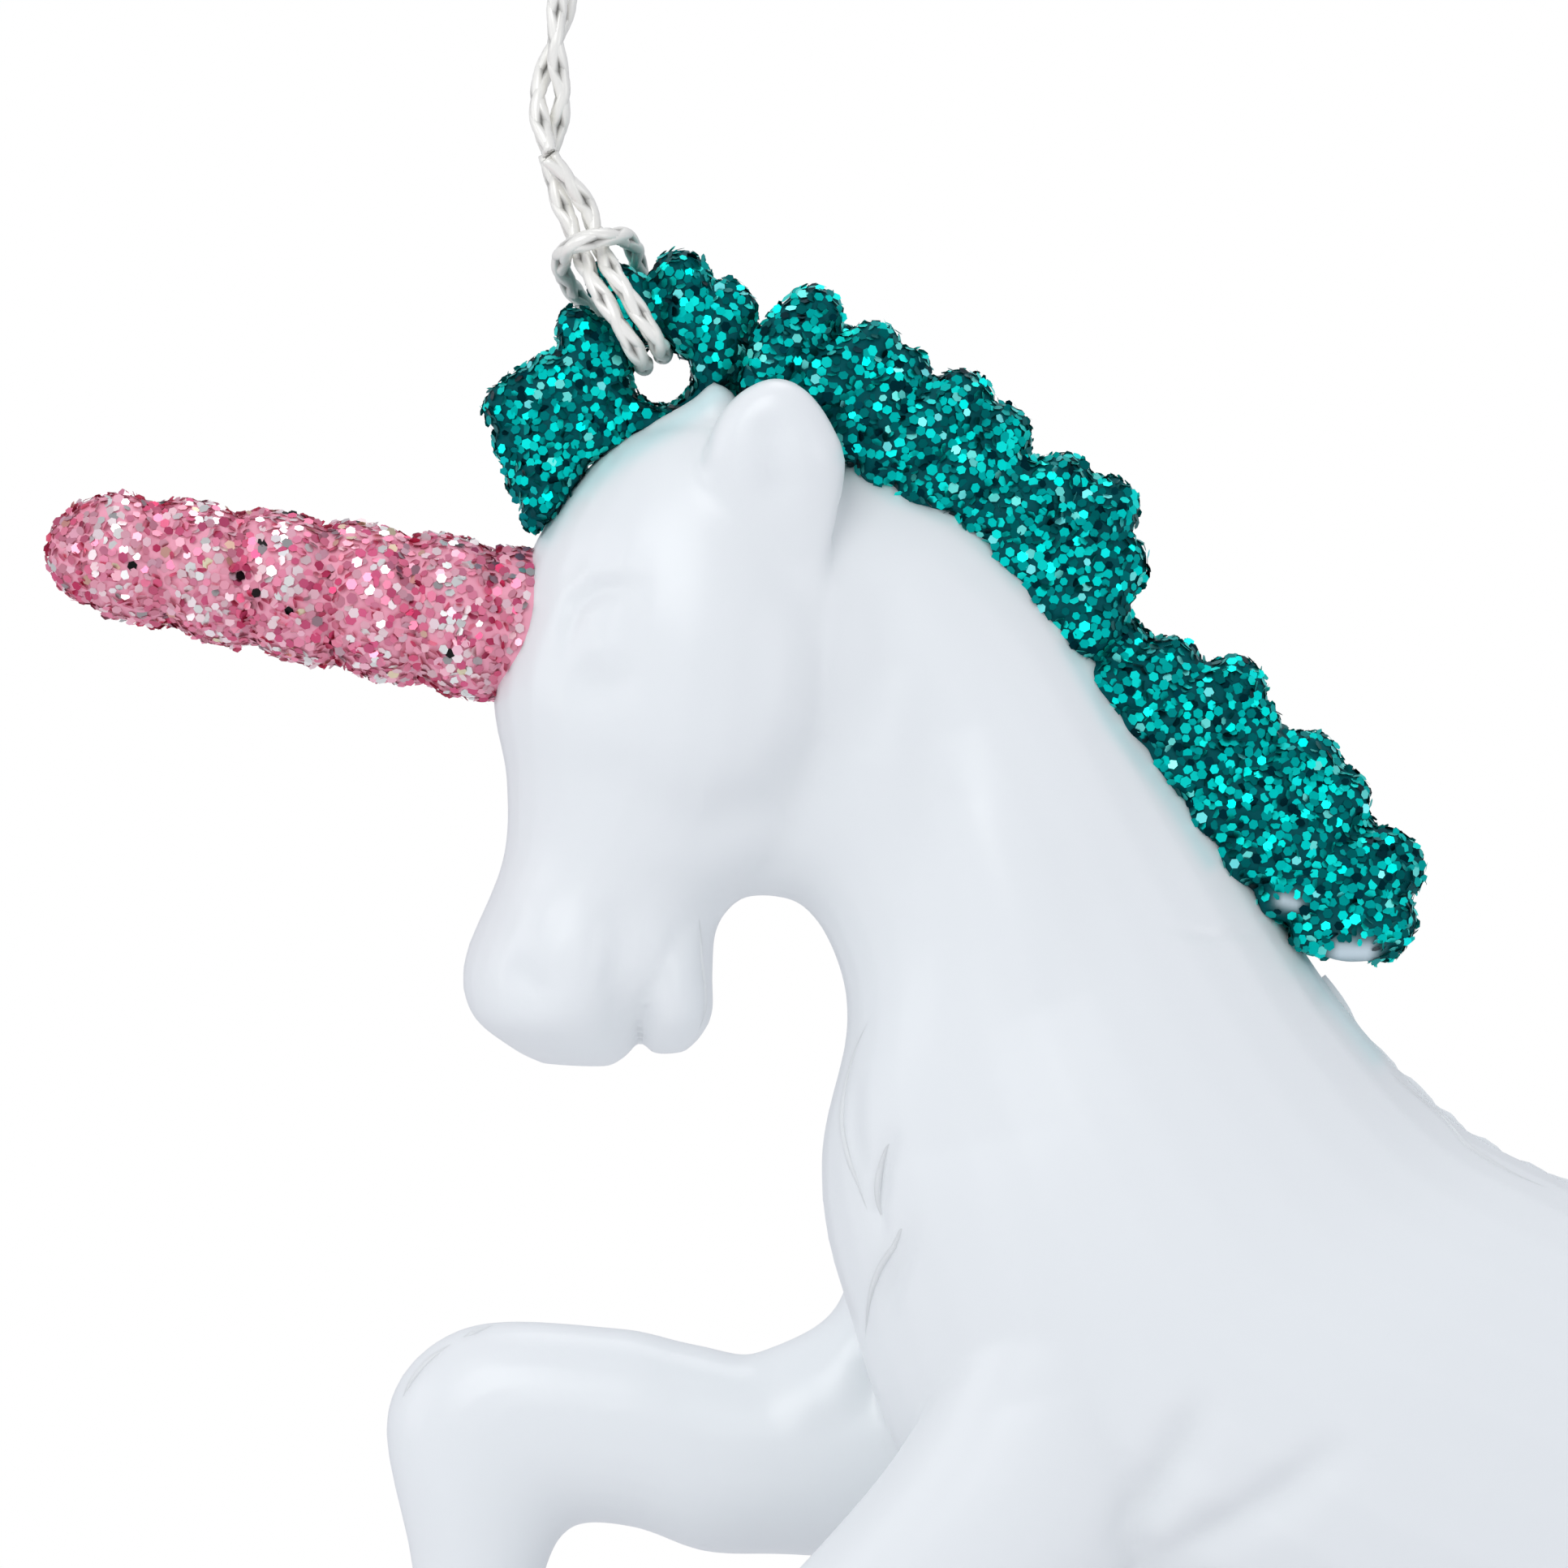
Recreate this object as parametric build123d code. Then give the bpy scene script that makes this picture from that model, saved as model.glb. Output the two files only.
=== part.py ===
from build123d import *
import math
import os

# A hanging unicorn ornament in moulded plastic, seen from its left side.
# The origin is the inside of the top of the hanging loop, where a hook bears. The head
# points to -X, the near side of the figurine is -Y and +Z is up. The two body mouldings
# meet on the plane y = 0.

# Picture scale: the head, from the poll to the lips, is the measured length
HEAD_LENGTH = 31.3
HEAD_LENGTH_PIXELS = 845
LOOP_TOP_PIXEL = (740, -1400)

# Body mouldings
HEAD_WIDTH = 14.6
TRUNK_WIDTH = 23.0
FORELEG_WIDTH = 9.4
HIND_LEG_WIDTH = 10.4
FORELEG_OFFSET = 5.8
HIND_LEG_OFFSET = 6.2
EAR_WIDTH = 3.2
EAR_OFFSET = 5.4
BODY_WALL = 2.2
LOCATING_PIN_DIAMETER = 2.4
LOCATING_PIN_LENGTH = 2.6
LOCATING_BOSS_WALL = 1.6
PIN_CLEARANCE = 0.1

# Face: round balls that make the eyeball, its socket and the nostril, each with the
# distance of its centre from the parting plane
EYE_DIAMETER = 3.2
EYE_OFFSET = 4.5
EYE_SOCKET_DIAMETER = 6.4
EYE_SOCKET_OFFSET = 8.3
NOSTRIL_DIAMETER = 2.0
NOSTRIL_OFFSET = 4.9
MOUTH_SLIT = 0.5
MOUTH_DEPTH = 2.6

# Horn
HORN_LENGTH = 21.6
HORN_BASE_DIAMETER = 7.4
HORN_TIP_DIAMETER = 5.3
HORN_DROOP_ANGLE = 10.4
HORN_SPIRAL_PITCH = 3.9
HORN_GROOVE_DEPTH = 0.45
HORN_SEAT_DEPTH = 1.5

# Mane, forelock and tail
MANE_THICKNESS = 7.2
FORELOCK_THICKNESS = 5.0
TAIL_THICKNESS = 6.4
EYELET_DIAMETER = 3.0
EYELET_CHAMFER = 0.9
GROOVE_WIDTH = 1.5

# Pegs that hold the horn, hair and tail in the body, and their fit
HORN_PEG_DIAMETER = 3.2
HORN_PEG_LENGTH = 4.5
HAIR_PEG_DIAMETER = 2.0
HAIR_PEG_LENGTH = 3.2
SEAT_GAP = 0.1

# Hanging cord
CORD_DIAMETER = 0.95
HITCH_DEPTH = 3.0
KNOT_DIAMETER = 2.3
KNOT_LENGTH = 2.9
KNOT_TAIL_LENGTH = 3.4

# Overrun of a cut past the face that it starts from
OVERRUN = 0.5

MM_PER_PIXEL = HEAD_LENGTH / HEAD_LENGTH_PIXELS
SIDES = (-1, 1)

# Depth of a groove between locks, as shares of the hair's thickness from its middle
GROOVE_EDGE_SHARE = 0.26
GROOVE_ROOT_SHARE = 0.56

# Points round an oval of the trunk and head, and of every other form, and steps from row
# to row
BODY_POINTS = 16
LIMB_POINTS = 12
BODY_STEPS = 2

BALL_RINGS = 7
CORD_SIDES = 6
CORD_BEND_SHARE = 0.45

# Neck and trunk: crest or back, throat or belly, share of TRUNK_WIDTH
TRUNK_ROWS_PIXELS = [
    ((1050, 545), (915, 1110), 0.46),
    ((1185, 592), (985, 1115), 0.48),
    ((1305, 700), (1032, 1190), 0.50),
    ((1412, 860), (1049, 1290), 0.55),
    ((1520, 1025), (1016, 1440), 0.66),
    ((1640, 1192), (1031, 1600), 0.80),
    ((1775, 1360), (1150, 1850), 0.93),
    ((1900, 1438), (1450, 2040), 1.0),
    ((2080, 1525), (1750, 2180), 0.98),
    ((2280, 1660), (1990, 2260), 0.90),
    ((2450, 1850), (2150, 2330), 0.90),
    ((2560, 2060), (2330, 2420), 0.76),
    ((2600, 2240), (2470, 2410), 0.40),
]
CAVITY_FIRST_ROW = 5
CAVITY_LAST_ROW = 11

# Head: forehead or nose, back of the skull or jaw, share of HEAD_WIDTH
HEAD_ROWS_PIXELS = [
    ((835, 512), (960, 505), 0.34),
    ((752, 552), (1030, 560), 0.66),
    ((660, 668), (1080, 720), 0.94),
    ((613, 830), (1090, 900), 1.0),
    ((627, 960), (1020, 1030), 0.84),
    ((622, 1065), (900, 1118), 0.68),
    ((576, 1180), (872, 1195), 0.70),
    ((585, 1258), (872, 1262), 0.58),
    ((668, 1310), (792, 1306), 0.24),
]

EAR_ROWS_PIXELS = [
    ((884, 630), (1030, 635), 1.0),
    ((896, 535), (1016, 548), 0.94),
    ((934, 478), (978, 480), 0.42),
]
FAR_EAR_SHIFT_PIXELS = (-72, -2)

# Near foreleg, reaching forward and down, from the shoulder to the sole
NEAR_FORELEG_ROWS_PIXELS = [
    ((1186, 1627), (1490, 1627), 0.80),
    ((1094, 1786), (1391, 1911), 0.96),
    ((940, 1962), (1176, 2117), 0.80),
    ((813, 2107), (1009, 2274), 0.66),
    ((749, 2274), (916, 2372), 0.62),
    ((769, 2568), (882, 2568), 0.42),
    ((754, 2676), (882, 2666), 0.50),
    ((720, 2754), (872, 2764), 0.54),
    ((686, 2852), (891, 2862), 0.72),
]

# Raised far foreleg, with the knee at the front, from the shoulder to the sole
FAR_FORELEG_ROWS_PIXELS = [
    ((1154, 1664), (1174, 1944), 0.84),
    ((940, 1682), (960, 1930), 0.84),
    ((756, 1651), (786, 1903), 0.76),
    ((567, 1653), (703, 1904), 0.70),
    ((472, 1760), (668, 1949), 0.66),
    ((496, 1949), (658, 2030), 0.52),
    ((509, 2112), (639, 2122), 0.44),
    ((503, 2244), (634, 2244), 0.50),
    ((465, 2336), (621, 2357), 0.54),
    ((420, 2438), (639, 2469), 0.72),
]

# Hind leg, from the haunch to the sole
HIND_LEG_ROWS_PIXELS = [
    ((2120, 1960), (2430, 2000), 0.50),
    ((2060, 2250), (2550, 2290), 1.0),
    ((2130, 2500), (2480, 2470), 0.86),
    ((2260, 2670), (2500, 2590), 0.64),
    ((2370, 2800), (2580, 2730), 0.52),
    ((2395, 2920), (2585, 2900), 0.46),
    ((2375, 3050), (2510, 3060), 0.38),
    ((2335, 3170), (2470, 3200), 0.42),
    ((2275, 3250), (2420, 3310), 0.48),
    ((2200, 3320), (2400, 3420), 0.66),
]
FAR_HIND_LEG_SHIFT_PIXELS = (-150, -30)

# The rounded swell of each hair piece, past its edges, and then its outline in the
# picture: round locks, as arcs through each trough, crest and next trough, and a curve
# along the skull or the neck
FORELOCK_SWELL_PIXELS = [
    ((545, 480), (545, 640), 0.40),
    ((620, 400), (640, 740), 0.80),
    ((700, 325), (720, 720), 1.0),
    ((790, 265), (800, 690), 1.0),
    ((870, 250), (880, 660), 1.0),
    ((980, 300), (980, 620), 0.76),
]
FORELOCK_LOCKS_PIXELS = [
    (650, 668),
    (624, 612),
    (617, 561),
    (587, 510),
    (633, 454),
    (664, 424),
    (689, 410),
    (693, 388),
    (714, 371),
    (738, 322),
    (772, 331),
    (786, 334),
    (800, 326),
    (838, 303),
    (874, 334),
    (917, 345),
    (940, 386),
]
FORELOCK_SKULL_PIXELS = [(926, 505), (860, 520), (784, 540), (710, 586), (664, 655)]
FORELOCK_GROOVES_PIXELS = [
    ((617, 561), (720, 565)),
    ((633, 454), (740, 505)),
    ((689, 410), (755, 468)),
    ((774, 331), (798, 400)),
    ((874, 334), (858, 415)),
]
EYELET_PIXEL = (816, 462)

MANE_SWELL_PIXELS = [
    ((950, 320), (925, 580), 0.80),
    ((1100, 345), (1000, 650), 0.92),
    ((1260, 430), (1110, 740), 1.0),
    ((1420, 540), (1200, 860), 1.0),
    ((1510, 700), (1260, 980), 0.96),
    ((1620, 810), (1330, 1090), 1.0),
    ((1730, 920), (1420, 1190), 0.94),
    ((1810, 1060), (1500, 1260), 0.84),
    ((1790, 1230), (1600, 1330), 0.60),
]
MANE_LOCKS_PIXELS = [
    (943, 386),
    (1006, 350),
    (1059, 397),
    (1096, 395),
    (1128, 437),
    (1205, 462),
    (1271, 550),
    (1342, 564),
    (1397, 598),
    (1419, 667),
    (1389, 760),
    (1436, 776),
    (1480, 796),
    (1556, 824),
    (1583, 906),
    (1642, 904),
    (1689, 985),
    (1748, 1045),
    (1755, 1134),
    (1722, 1174),
    (1640, 1196),
]
MANE_NECK_PIXELS = [
    (1568, 1150),
    (1496, 1085),
    (1429, 950),
    (1327, 805),
    (1217, 672),
    (1096, 604),
    (1010, 560),
    (929, 507),
]
MANE_GROOVES_PIXELS = [
    ((1059, 397), (1010, 520)),
    ((1128, 437), (1085, 570)),
    ((1271, 550), (1185, 615)),
    ((1397, 598), (1290, 720)),
    ((1389, 760), (1335, 800)),
    ((1480, 796), (1400, 880)),
    ((1583, 906), (1460, 960)),
    ((1689, 985), (1520, 1060)),
    ((1755, 1134), (1620, 1130)),
]

TAIL_SWELL_PIXELS = [
    ((2530, 1960), (2540, 2260), 0.60),
    ((2700, 1910), (2650, 2270), 0.92),
    ((2880, 2010), (2680, 2290), 1.0),
    ((2980, 2210), (2680, 2340), 1.0),
    ((3010, 2440), (2660, 2460), 1.0),
    ((2990, 2640), (2640, 2620), 0.94),
    ((2940, 2810), (2630, 2790), 0.80),
    ((2860, 3000), (2680, 2980), 0.50),
]
TAIL_LOCKS_PIXELS = [
    (2560, 2040),
    (2650, 1985),
    (2760, 2030),
    (2835, 2080),
    (2870, 2160),
    (2912, 2230),
    (2890, 2320),
    (2935, 2420),
    (2895, 2520),
    (2925, 2630),
    (2865, 2730),
    (2870, 2850),
    (2770, 2960),
    (2712, 2870),
    (2725, 2760),
    (2690, 2650),
    (2738, 2540),
    (2720, 2430),
    (2762, 2330),
    (2740, 2220),
    (2640, 2170),
]
TAIL_DOCK_PIXELS = [(2560, 2190), (2500, 2120)]
TAIL_GROOVES_PIXELS = [
    ((2760, 2030), (2680, 2110)),
    ((2870, 2160), (2760, 2180)),
    ((2890, 2320), (2790, 2300)),
    ((2895, 2520), (2790, 2500)),
    ((2865, 2730), (2770, 2700)),
]

# Pegs of the hair: a foot on the body's outline, and a point that the peg aims at
FORELOCK_PEG_PIXELS = [((800, 545), (880, 700))]
MANE_PEG_PIXELS = [((1185, 625), (1085, 800)), ((1330, 760), (1200, 890)), ((1470, 985), (1330, 1080))]
TAIL_PEG_PIXELS = [((2575, 2120), (2440, 2120))]

# Locating pins between the two mouldings
LOCATING_PIXELS = [(800, 1000), (1400, 1500), (2330, 2060)]

# Lower end of the mouth and the point that its slit aims at
MOUTH_PIXELS = ((779, 1300), (771, 1140))
NOSTRIL_PIXEL = (656, 1203)
EYE_PIXEL = (740, 777)

HORN_BASE_PIXEL = (628, 770)
HORN_RINGS_PER_TURN = 7
HORN_TAPER_POWER = 1.6
HORN_NOSE_SHARE = 0.14
HORN_NOSE_FLAT_SHARE = 0.88

# Hitch of the cord on the eyelet's rim: picture point and share of HITCH_DEPTH, from the
# left strand down its front, through the hole, up behind, across the front as a bar and
# back again
HITCH_ROUTE = [
    ((708, 296), -0.05),
    ((728, 344), -0.76),
    ((754, 388), -1.0),
    ((793, 450), -1.0),
    ((793, 450), 1.0),
    ((752, 402), 1.0),
    ((712, 363), 0.96),
    ((695, 342), 0.28),
    ((690, 323), -0.38),
    ((704, 308), -0.98),
    ((747, 298), -0.98),
    ((771, 293), -0.38),
    ((781, 303), 0.24),
    ((787, 332), 0.90),
    ((800, 378), 1.0),
    ((817, 436), 1.0),
    ((817, 436), -1.0),
    ((784, 382), -1.0),
    ((750, 333), -0.88),
    ((733, 288), -0.06),
]

# Strands of the cord above it: picture point and share of CORD_DIAMETER in depth. The
# neck is the short doubled stretch above the hitch
NECK_LEFT_ROUTE = [((701, 272), -0.10), ((684, 240), 0.37), ((677, 201), 0.65)]
NECK_RIGHT_ROUTE = [((726, 258), -0.14), ((710, 234), -0.44), ((684, 203), -0.65)]
LEFT_STRAND_ROUTE = [
    ((679, 181), 0.64),
    ((698, 128), 0.0),
    ((684, 70), -0.66),
    ((688, -20), -0.62),
    ((700, -150), -0.10),
    ((676, -350), 0.0),
    ((630, -600), 0.0),
    ((588, -860), 0.0),
    ((583, -1060), 0.0),
    ((610, -1225), 0.0),
    ((646, -1345), 0.0),
    ((700, -1413), 0.0),
    ((784, -1413), 0.0),
    ((845, -1350), 0.0),
    ((886, -1235), 0.0),
    ((900, -1110), 0.0),
    ((896, -990), 0.0),
]
RIGHT_STRAND_ROUTE = [
    ((675, 181), -0.64),
    ((656, 128), 0.0),
    ((676, 70), 0.66),
    ((707, -20), 0.62),
    ((742, -150), 0.10),
    ((792, -350), 0.0),
    ((842, -600), 0.0),
    ((880, -800), 0.0),
    ((890, -905), 0.0),
]

# Knot that joins the two ends of the cord, as shares of KNOT_DIAMETER along it, and the
# directions of its two loose tails
KNOT_PIXELS = ((893, -987), (891, -909))
KNOT_WAIST_SHARES = (0.60, 1.0, 0.84, 1.0, 0.84, 1.0, 0.60)
KNOT_TAIL_DIRECTIONS = ((0.80, -0.35, 0.50), (0.75, 0.35, -0.55))


def at(pixel, y=0.0):
    """The place of a picture point, at the depth y."""
    x = (pixel[0] - LOOP_TOP_PIXEL[0]) * MM_PER_PIXEL
    z = (LOOP_TOP_PIXEL[1] - pixel[1]) * MM_PER_PIXEL
    return Vector(x, y, z)


def between(before, low, high, after, share):
    """The value a share of the way from low to high, on a smooth curve through all four."""
    slope = (high - before) * 0.5
    bend = before - low * 2.5 + high * 2 - after * 0.5
    twist = (after - before) * 0.5 + (low - high) * 1.5
    return low + (slope + (bend + twist * share) * share) * share


def skin(rings):
    """A closed form of flat facets through rings with the same number of points."""
    facets = [Face(Wire.make_polygon(ring, close=True)) for ring in (rings[0], rings[-1])]
    for ring, ahead in zip(rings, rings[1:]):
        for i, point in enumerate(ring):
            j = (i + 1) % len(ring)
            facets.append(Face(Wire.make_polygon([point, ring[j], ahead[j]], close=True)))
            facets.append(Face(Wire.make_polygon([point, ahead[j], ahead[i]], close=True)))
    return Solid(Shell(facets))


def limb(rows, width, y=0.0, grow=0.0, points=LIMB_POINTS, steps=BODY_STEPS):
    """A form through ovals. Each row is (upper pixel, lower pixel, share of the width)."""
    uppers = [at(upper, y) for upper, lower, share in rows]
    lowers = [at(lower, y) for upper, lower, share in rows]
    shares = [share for upper, lower, share in rows]
    rings = []
    for i in range((len(rows) - 1) * steps + 1):
        row = min(i // steps, len(rows) - 2)
        share = i / steps - row
        near = (max(row - 1, 0), row, row + 1, min(row + 2, len(rows) - 1))
        top = between(*[uppers[k] for k in near], share)
        bottom = between(*[lowers[k] for k in near], share)
        half_width = between(*[shares[k] for k in near], share) * width / 2 + grow
        centre = (top + bottom) * 0.5
        rise = (top - bottom) * 0.5
        up = rise.normalized() * (rise.length + grow)
        angles = [2 * math.pi * k / points for k in range(points)]
        rings.append([centre + Vector(0, half_width * math.cos(a), 0) + up * math.sin(a) for a in angles])
    return skin(rings)


def shifted(rows, across_pixels, down_pixels):
    """The same rows moved in the picture."""
    moved = []
    for upper, lower, share in rows:
        new_upper = (upper[0] + across_pixels, upper[1] + down_pixels)
        new_lower = (lower[0] + across_pixels, lower[1] + down_pixels)
        moved.append((new_upper, new_lower, share))
    return moved


def rod(start, direction, diameter, length):
    """A round rod from start, along direction."""
    plane = Plane(origin=start, z_dir=direction)
    return Solid.make_cylinder(diameter / 2, length, plane)


def side_box(side):
    """The space on one side of the parting plane."""
    size = HEAD_LENGTH * 20
    align = Align.MIN if side > 0 else Align.MAX
    return Box(size, size, size, align=(Align.CENTER, align, Align.CENTER))


def flesh(grow=0.0):
    """Neck, trunk and head as one form, without ears and legs."""
    trunk = limb(TRUNK_ROWS_PIXELS, TRUNK_WIDTH, 0.0, grow, BODY_POINTS)
    return trunk + limb(HEAD_ROWS_PIXELS, HEAD_WIDTH, 0.0, grow, BODY_POINTS)


def cavity():
    """The hollow of the trunk, clear of the bosses round the locating pins."""
    rows = TRUNK_ROWS_PIXELS[CAVITY_FIRST_ROW : CAVITY_LAST_ROW + 1]
    hollow = limb(rows, TRUNK_WIDTH, 0.0, -BODY_WALL, steps=1)
    boss_diameter = LOCATING_PIN_DIAMETER + 2 * LOCATING_BOSS_WALL
    for pixel in LOCATING_PIXELS:
        hollow -= rod(at(pixel, -TRUNK_WIDTH), (0, 1, 0), boss_diameter, 2 * TRUNK_WIDTH)
    return hollow


def pegs(pairs, gap=0.0):
    """Round pegs on the parting plane, from above each foot towards its aim."""
    rods = []
    for foot, aim in pairs:
        start = at(foot)
        direction = (at(aim) - start).normalized()
        above = start - direction * HAIR_PEG_LENGTH / 2
        rods.append(rod(above, direction, HAIR_PEG_DIAMETER + 2 * gap, 1.5 * HAIR_PEG_LENGTH + gap))
    return rods


def horn_axis():
    """Unit vector from the base of the horn to its tip."""
    angle = math.radians(HORN_DROOP_ANGLE)
    return Vector(-math.cos(angle), 0, math.sin(angle))


def horn_peg(gap=0.0):
    """The peg at the base of the horn."""
    axis = horn_axis()
    start = at(HORN_BASE_PIXEL) + axis * HORN_SEAT_DEPTH
    length = 2 * HORN_SEAT_DEPTH + HORN_PEG_LENGTH + gap
    return rod(start, axis * -1, HORN_PEG_DIAMETER + 2 * gap, length)


def horn_seat():
    """The round recess in the forehead that the foot of the horn stands in."""
    axis = horn_axis()
    foot = at(HORN_BASE_PIXEL) - axis * (HORN_SEAT_DEPTH + SEAT_GAP)
    return rod(foot, axis, HORN_BASE_DIAMETER + 2 * SEAT_GAP, HORN_SEAT_DEPTH * 3)


def horn():
    """A blunt horn with one shallow groove that winds round it."""
    axis = horn_axis()
    length = HORN_LENGTH + HORN_SEAT_DEPTH
    frame = Plane(origin=at(HORN_BASE_PIXEL) - axis * HORN_SEAT_DEPTH, x_dir=(0, 1, 0), z_dir=axis)
    rings = []
    count = math.ceil(length / HORN_SPIRAL_PITCH * HORN_RINGS_PER_TURN)
    for i in range(count + 1):
        along = i / count
        nose = max(0.0, (along - 1 + HORN_NOSE_SHARE) / HORN_NOSE_SHARE)
        narrowing = (HORN_BASE_DIAMETER - HORN_TIP_DIAMETER) * along**HORN_TAPER_POWER
        radius = (HORN_BASE_DIAMETER - narrowing) / 2 * math.sqrt(1 - HORN_NOSE_FLAT_SHARE * nose**2)
        groove_angle = 2 * math.pi * along * length / HORN_SPIRAL_PITCH
        points = []
        for j in range(LIMB_POINTS):
            angle = 2 * math.pi * j / LIMB_POINTS
            wave = 0.5 + 0.5 * math.cos(angle - groove_angle)
            reach = radius - HORN_GROOVE_DEPTH * wave**2 * (1 - nose)
            local = (reach * math.cos(angle), reach * math.sin(angle), along * length)
            points.append(frame.from_local_coords(local))
        rings.append(points)
    return skin(rings) + horn_peg()


def hair(swell, locks, seat, grooves, thickness):
    """A rounded hair piece with a scalloped edge and a groove between its locks."""
    corners = [at(pixel, -thickness) for pixel in locks]
    edges = []
    for i in range(0, len(corners) - 2, 2):
        edges.append(Edge.make_three_point_arc(corners[i], corners[i + 1], corners[i + 2]))
    back = [at(pixel, -thickness) for pixel in seat]
    edges.append(Edge.make_line(corners[-1], back[0]))
    edges.append(Edge.make_spline(back))
    edges.append(Edge.make_line(back[-1], corners[0]))
    prism = Solid.extrude(Face(Wire(edges)), Vector(0, 2 * thickness, 0))
    cuts = []
    for trough, root in grooves:
        for side in SIDES:
            start = at(trough, side * thickness * GROOVE_EDGE_SHARE)
            aim = at(root, side * thickness * GROOVE_ROOT_SHARE) - start
            foot = start - aim.normalized() * OVERRUN
            plane = Plane(origin=foot, x_dir=aim.cross(Vector(0, 1, 0)), z_dir=aim)
            bar = Solid.make_box(GROOVE_WIDTH, GROOVE_WIDTH, aim.length + OVERRUN)
            cuts.append(plane * (Rotation(0, 0, 45) * bar))
    return (limb(swell, thickness, steps=1) & prism) - cuts


def eyelet():
    """The hole through the forelock for the cord, opened out at both faces."""
    radius = EYELET_DIAMETER / 2
    hole = rod(at(EYELET_PIXEL, -FORELOCK_THICKNESS), (0, 1, 0), EYELET_DIAMETER, 2 * FORELOCK_THICKNESS)
    height = EYELET_CHAMFER + OVERRUN
    for side in SIDES:
        start = at(EYELET_PIXEL, side * (FORELOCK_THICKNESS / 2 + OVERRUN))
        hole += Solid.make_cone(radius + height, radius, height, Plane(origin=start, z_dir=(0, -side, 0)))
    return hole


def ball(pixel, y, diameter):
    """A ball of flat facets on the head, at the depth y."""
    rings = []
    for i in range(BALL_RINGS):
        tilt = math.pi * (i + 0.5) / BALL_RINGS
        reach = diameter / 2 * math.sin(tilt)
        centre = at(pixel, y + diameter / 2 * math.cos(tilt))
        angles = [2 * math.pi * k / LIMB_POINTS for k in range(LIMB_POINTS)]
        rings.append([centre + Vector(reach * math.cos(a), 0, reach * math.sin(a)) for a in angles])
    return skin(rings)


def mouth():
    """The slit between the lips, across the muzzle."""
    start = at(MOUTH_PIXELS[0])
    aim = at(MOUTH_PIXELS[1]) - start
    plane = Plane(origin=start - aim.normalized() * OVERRUN, x_dir=(0, 1, 0), z_dir=aim)
    align = (Align.CENTER, Align.CENTER, Align.MIN)
    return plane * Box(HEAD_WIDTH, MOUTH_SLIT, MOUTH_DEPTH + OVERRUN, align=align)


def locating_pins(gap=0.0):
    """The pins of the near moulding, or with a gap their holes in the far one."""
    rods = []
    for pixel in LOCATING_PIXELS:
        start = at(pixel, -LOCATING_PIN_LENGTH)
        rods.append(rod(start, (0, 1, 0), LOCATING_PIN_DIAMETER + 2 * gap, 2 * LOCATING_PIN_LENGTH + gap))
    return rods


def cord(name, route, depth):
    """A tube of straight runs joined by arcs, along picture points with their depths."""
    points = [at(pixel, depth * share) for pixel, share in route]
    radii = []
    for before, corner, after in zip(points, points[1:], points[2:]):
        arrive = corner - before
        leave = after - corner
        half_turn = math.radians(arrive.get_angle(leave)) / 2
        radii.append(CORD_BEND_SHARE * min(arrive.length, leave.length) / math.tan(half_turn))
    path = FilletPolyline(*points, radius=radii)
    plane = Plane(origin=points[0], z_dir=points[1] - points[0])
    section = plane * RegularPolygon(CORD_DIAMETER / 2, CORD_SIDES)
    print(name, "length", round(path.length, 1), "arc radii", [round(radius, 1) for radius in radii])
    return sweep(section, path=path)


def knot():
    """The knot as a waisted barrel with two straight tails."""
    start = at(KNOT_PIXELS[0])
    axis = (at(KNOT_PIXELS[1]) - start).normalized()
    spacing = KNOT_LENGTH / (len(KNOT_WAIST_SHARES) - 1)
    across = Vector(0, 1, 0)
    up = axis.cross(across)
    rings = []
    for i, share in enumerate(KNOT_WAIST_SHARES):
        centre = start + axis * spacing * i
        reach = KNOT_DIAMETER / 2 * share
        angles = [2 * math.pi * k / LIMB_POINTS for k in range(LIMB_POINTS)]
        rings.append([centre + (across * math.cos(a) + up * math.sin(a)) * reach for a in angles])
    middle = start + axis * KNOT_LENGTH / 2
    length = KNOT_DIAMETER / 2 + KNOT_TAIL_LENGTH
    tails = []
    for direction in KNOT_TAIL_DIRECTIONS:
        section = Plane(origin=middle, z_dir=direction) * RegularPolygon(CORD_DIAMETER / 2, CORD_SIDES)
        tails.append(extrude(section, length))
    return skin(rings).fuse(*tails)


def write(shape, name):
    """Saves one sub-part under its node's name."""
    shape.label = name
    export_step(shape, os.path.join("parts", name + ".step"))


os.makedirs("parts", exist_ok=True)

body = flesh()
grown_body = flesh(SEAT_GAP)
hollow = cavity()

limbs = {
    -1: [
        limb(NEAR_FORELEG_ROWS_PIXELS, FORELEG_WIDTH, -FORELEG_OFFSET),
        limb(HIND_LEG_ROWS_PIXELS, HIND_LEG_WIDTH, -HIND_LEG_OFFSET),
        limb(EAR_ROWS_PIXELS, EAR_WIDTH, -EAR_OFFSET),
    ],
    1: [
        limb(FAR_FORELEG_ROWS_PIXELS, FORELEG_WIDTH, FORELEG_OFFSET),
        limb(shifted(HIND_LEG_ROWS_PIXELS, *FAR_HIND_LEG_SHIFT_PIXELS), HIND_LEG_WIDTH, HIND_LEG_OFFSET),
        limb(shifted(EAR_ROWS_PIXELS, *FAR_EAR_SHIFT_PIXELS), EAR_WIDTH, EAR_OFFSET),
    ],
}
sockets = pegs(FORELOCK_PEG_PIXELS + MANE_PEG_PIXELS + TAIL_PEG_PIXELS, SEAT_GAP)
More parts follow.
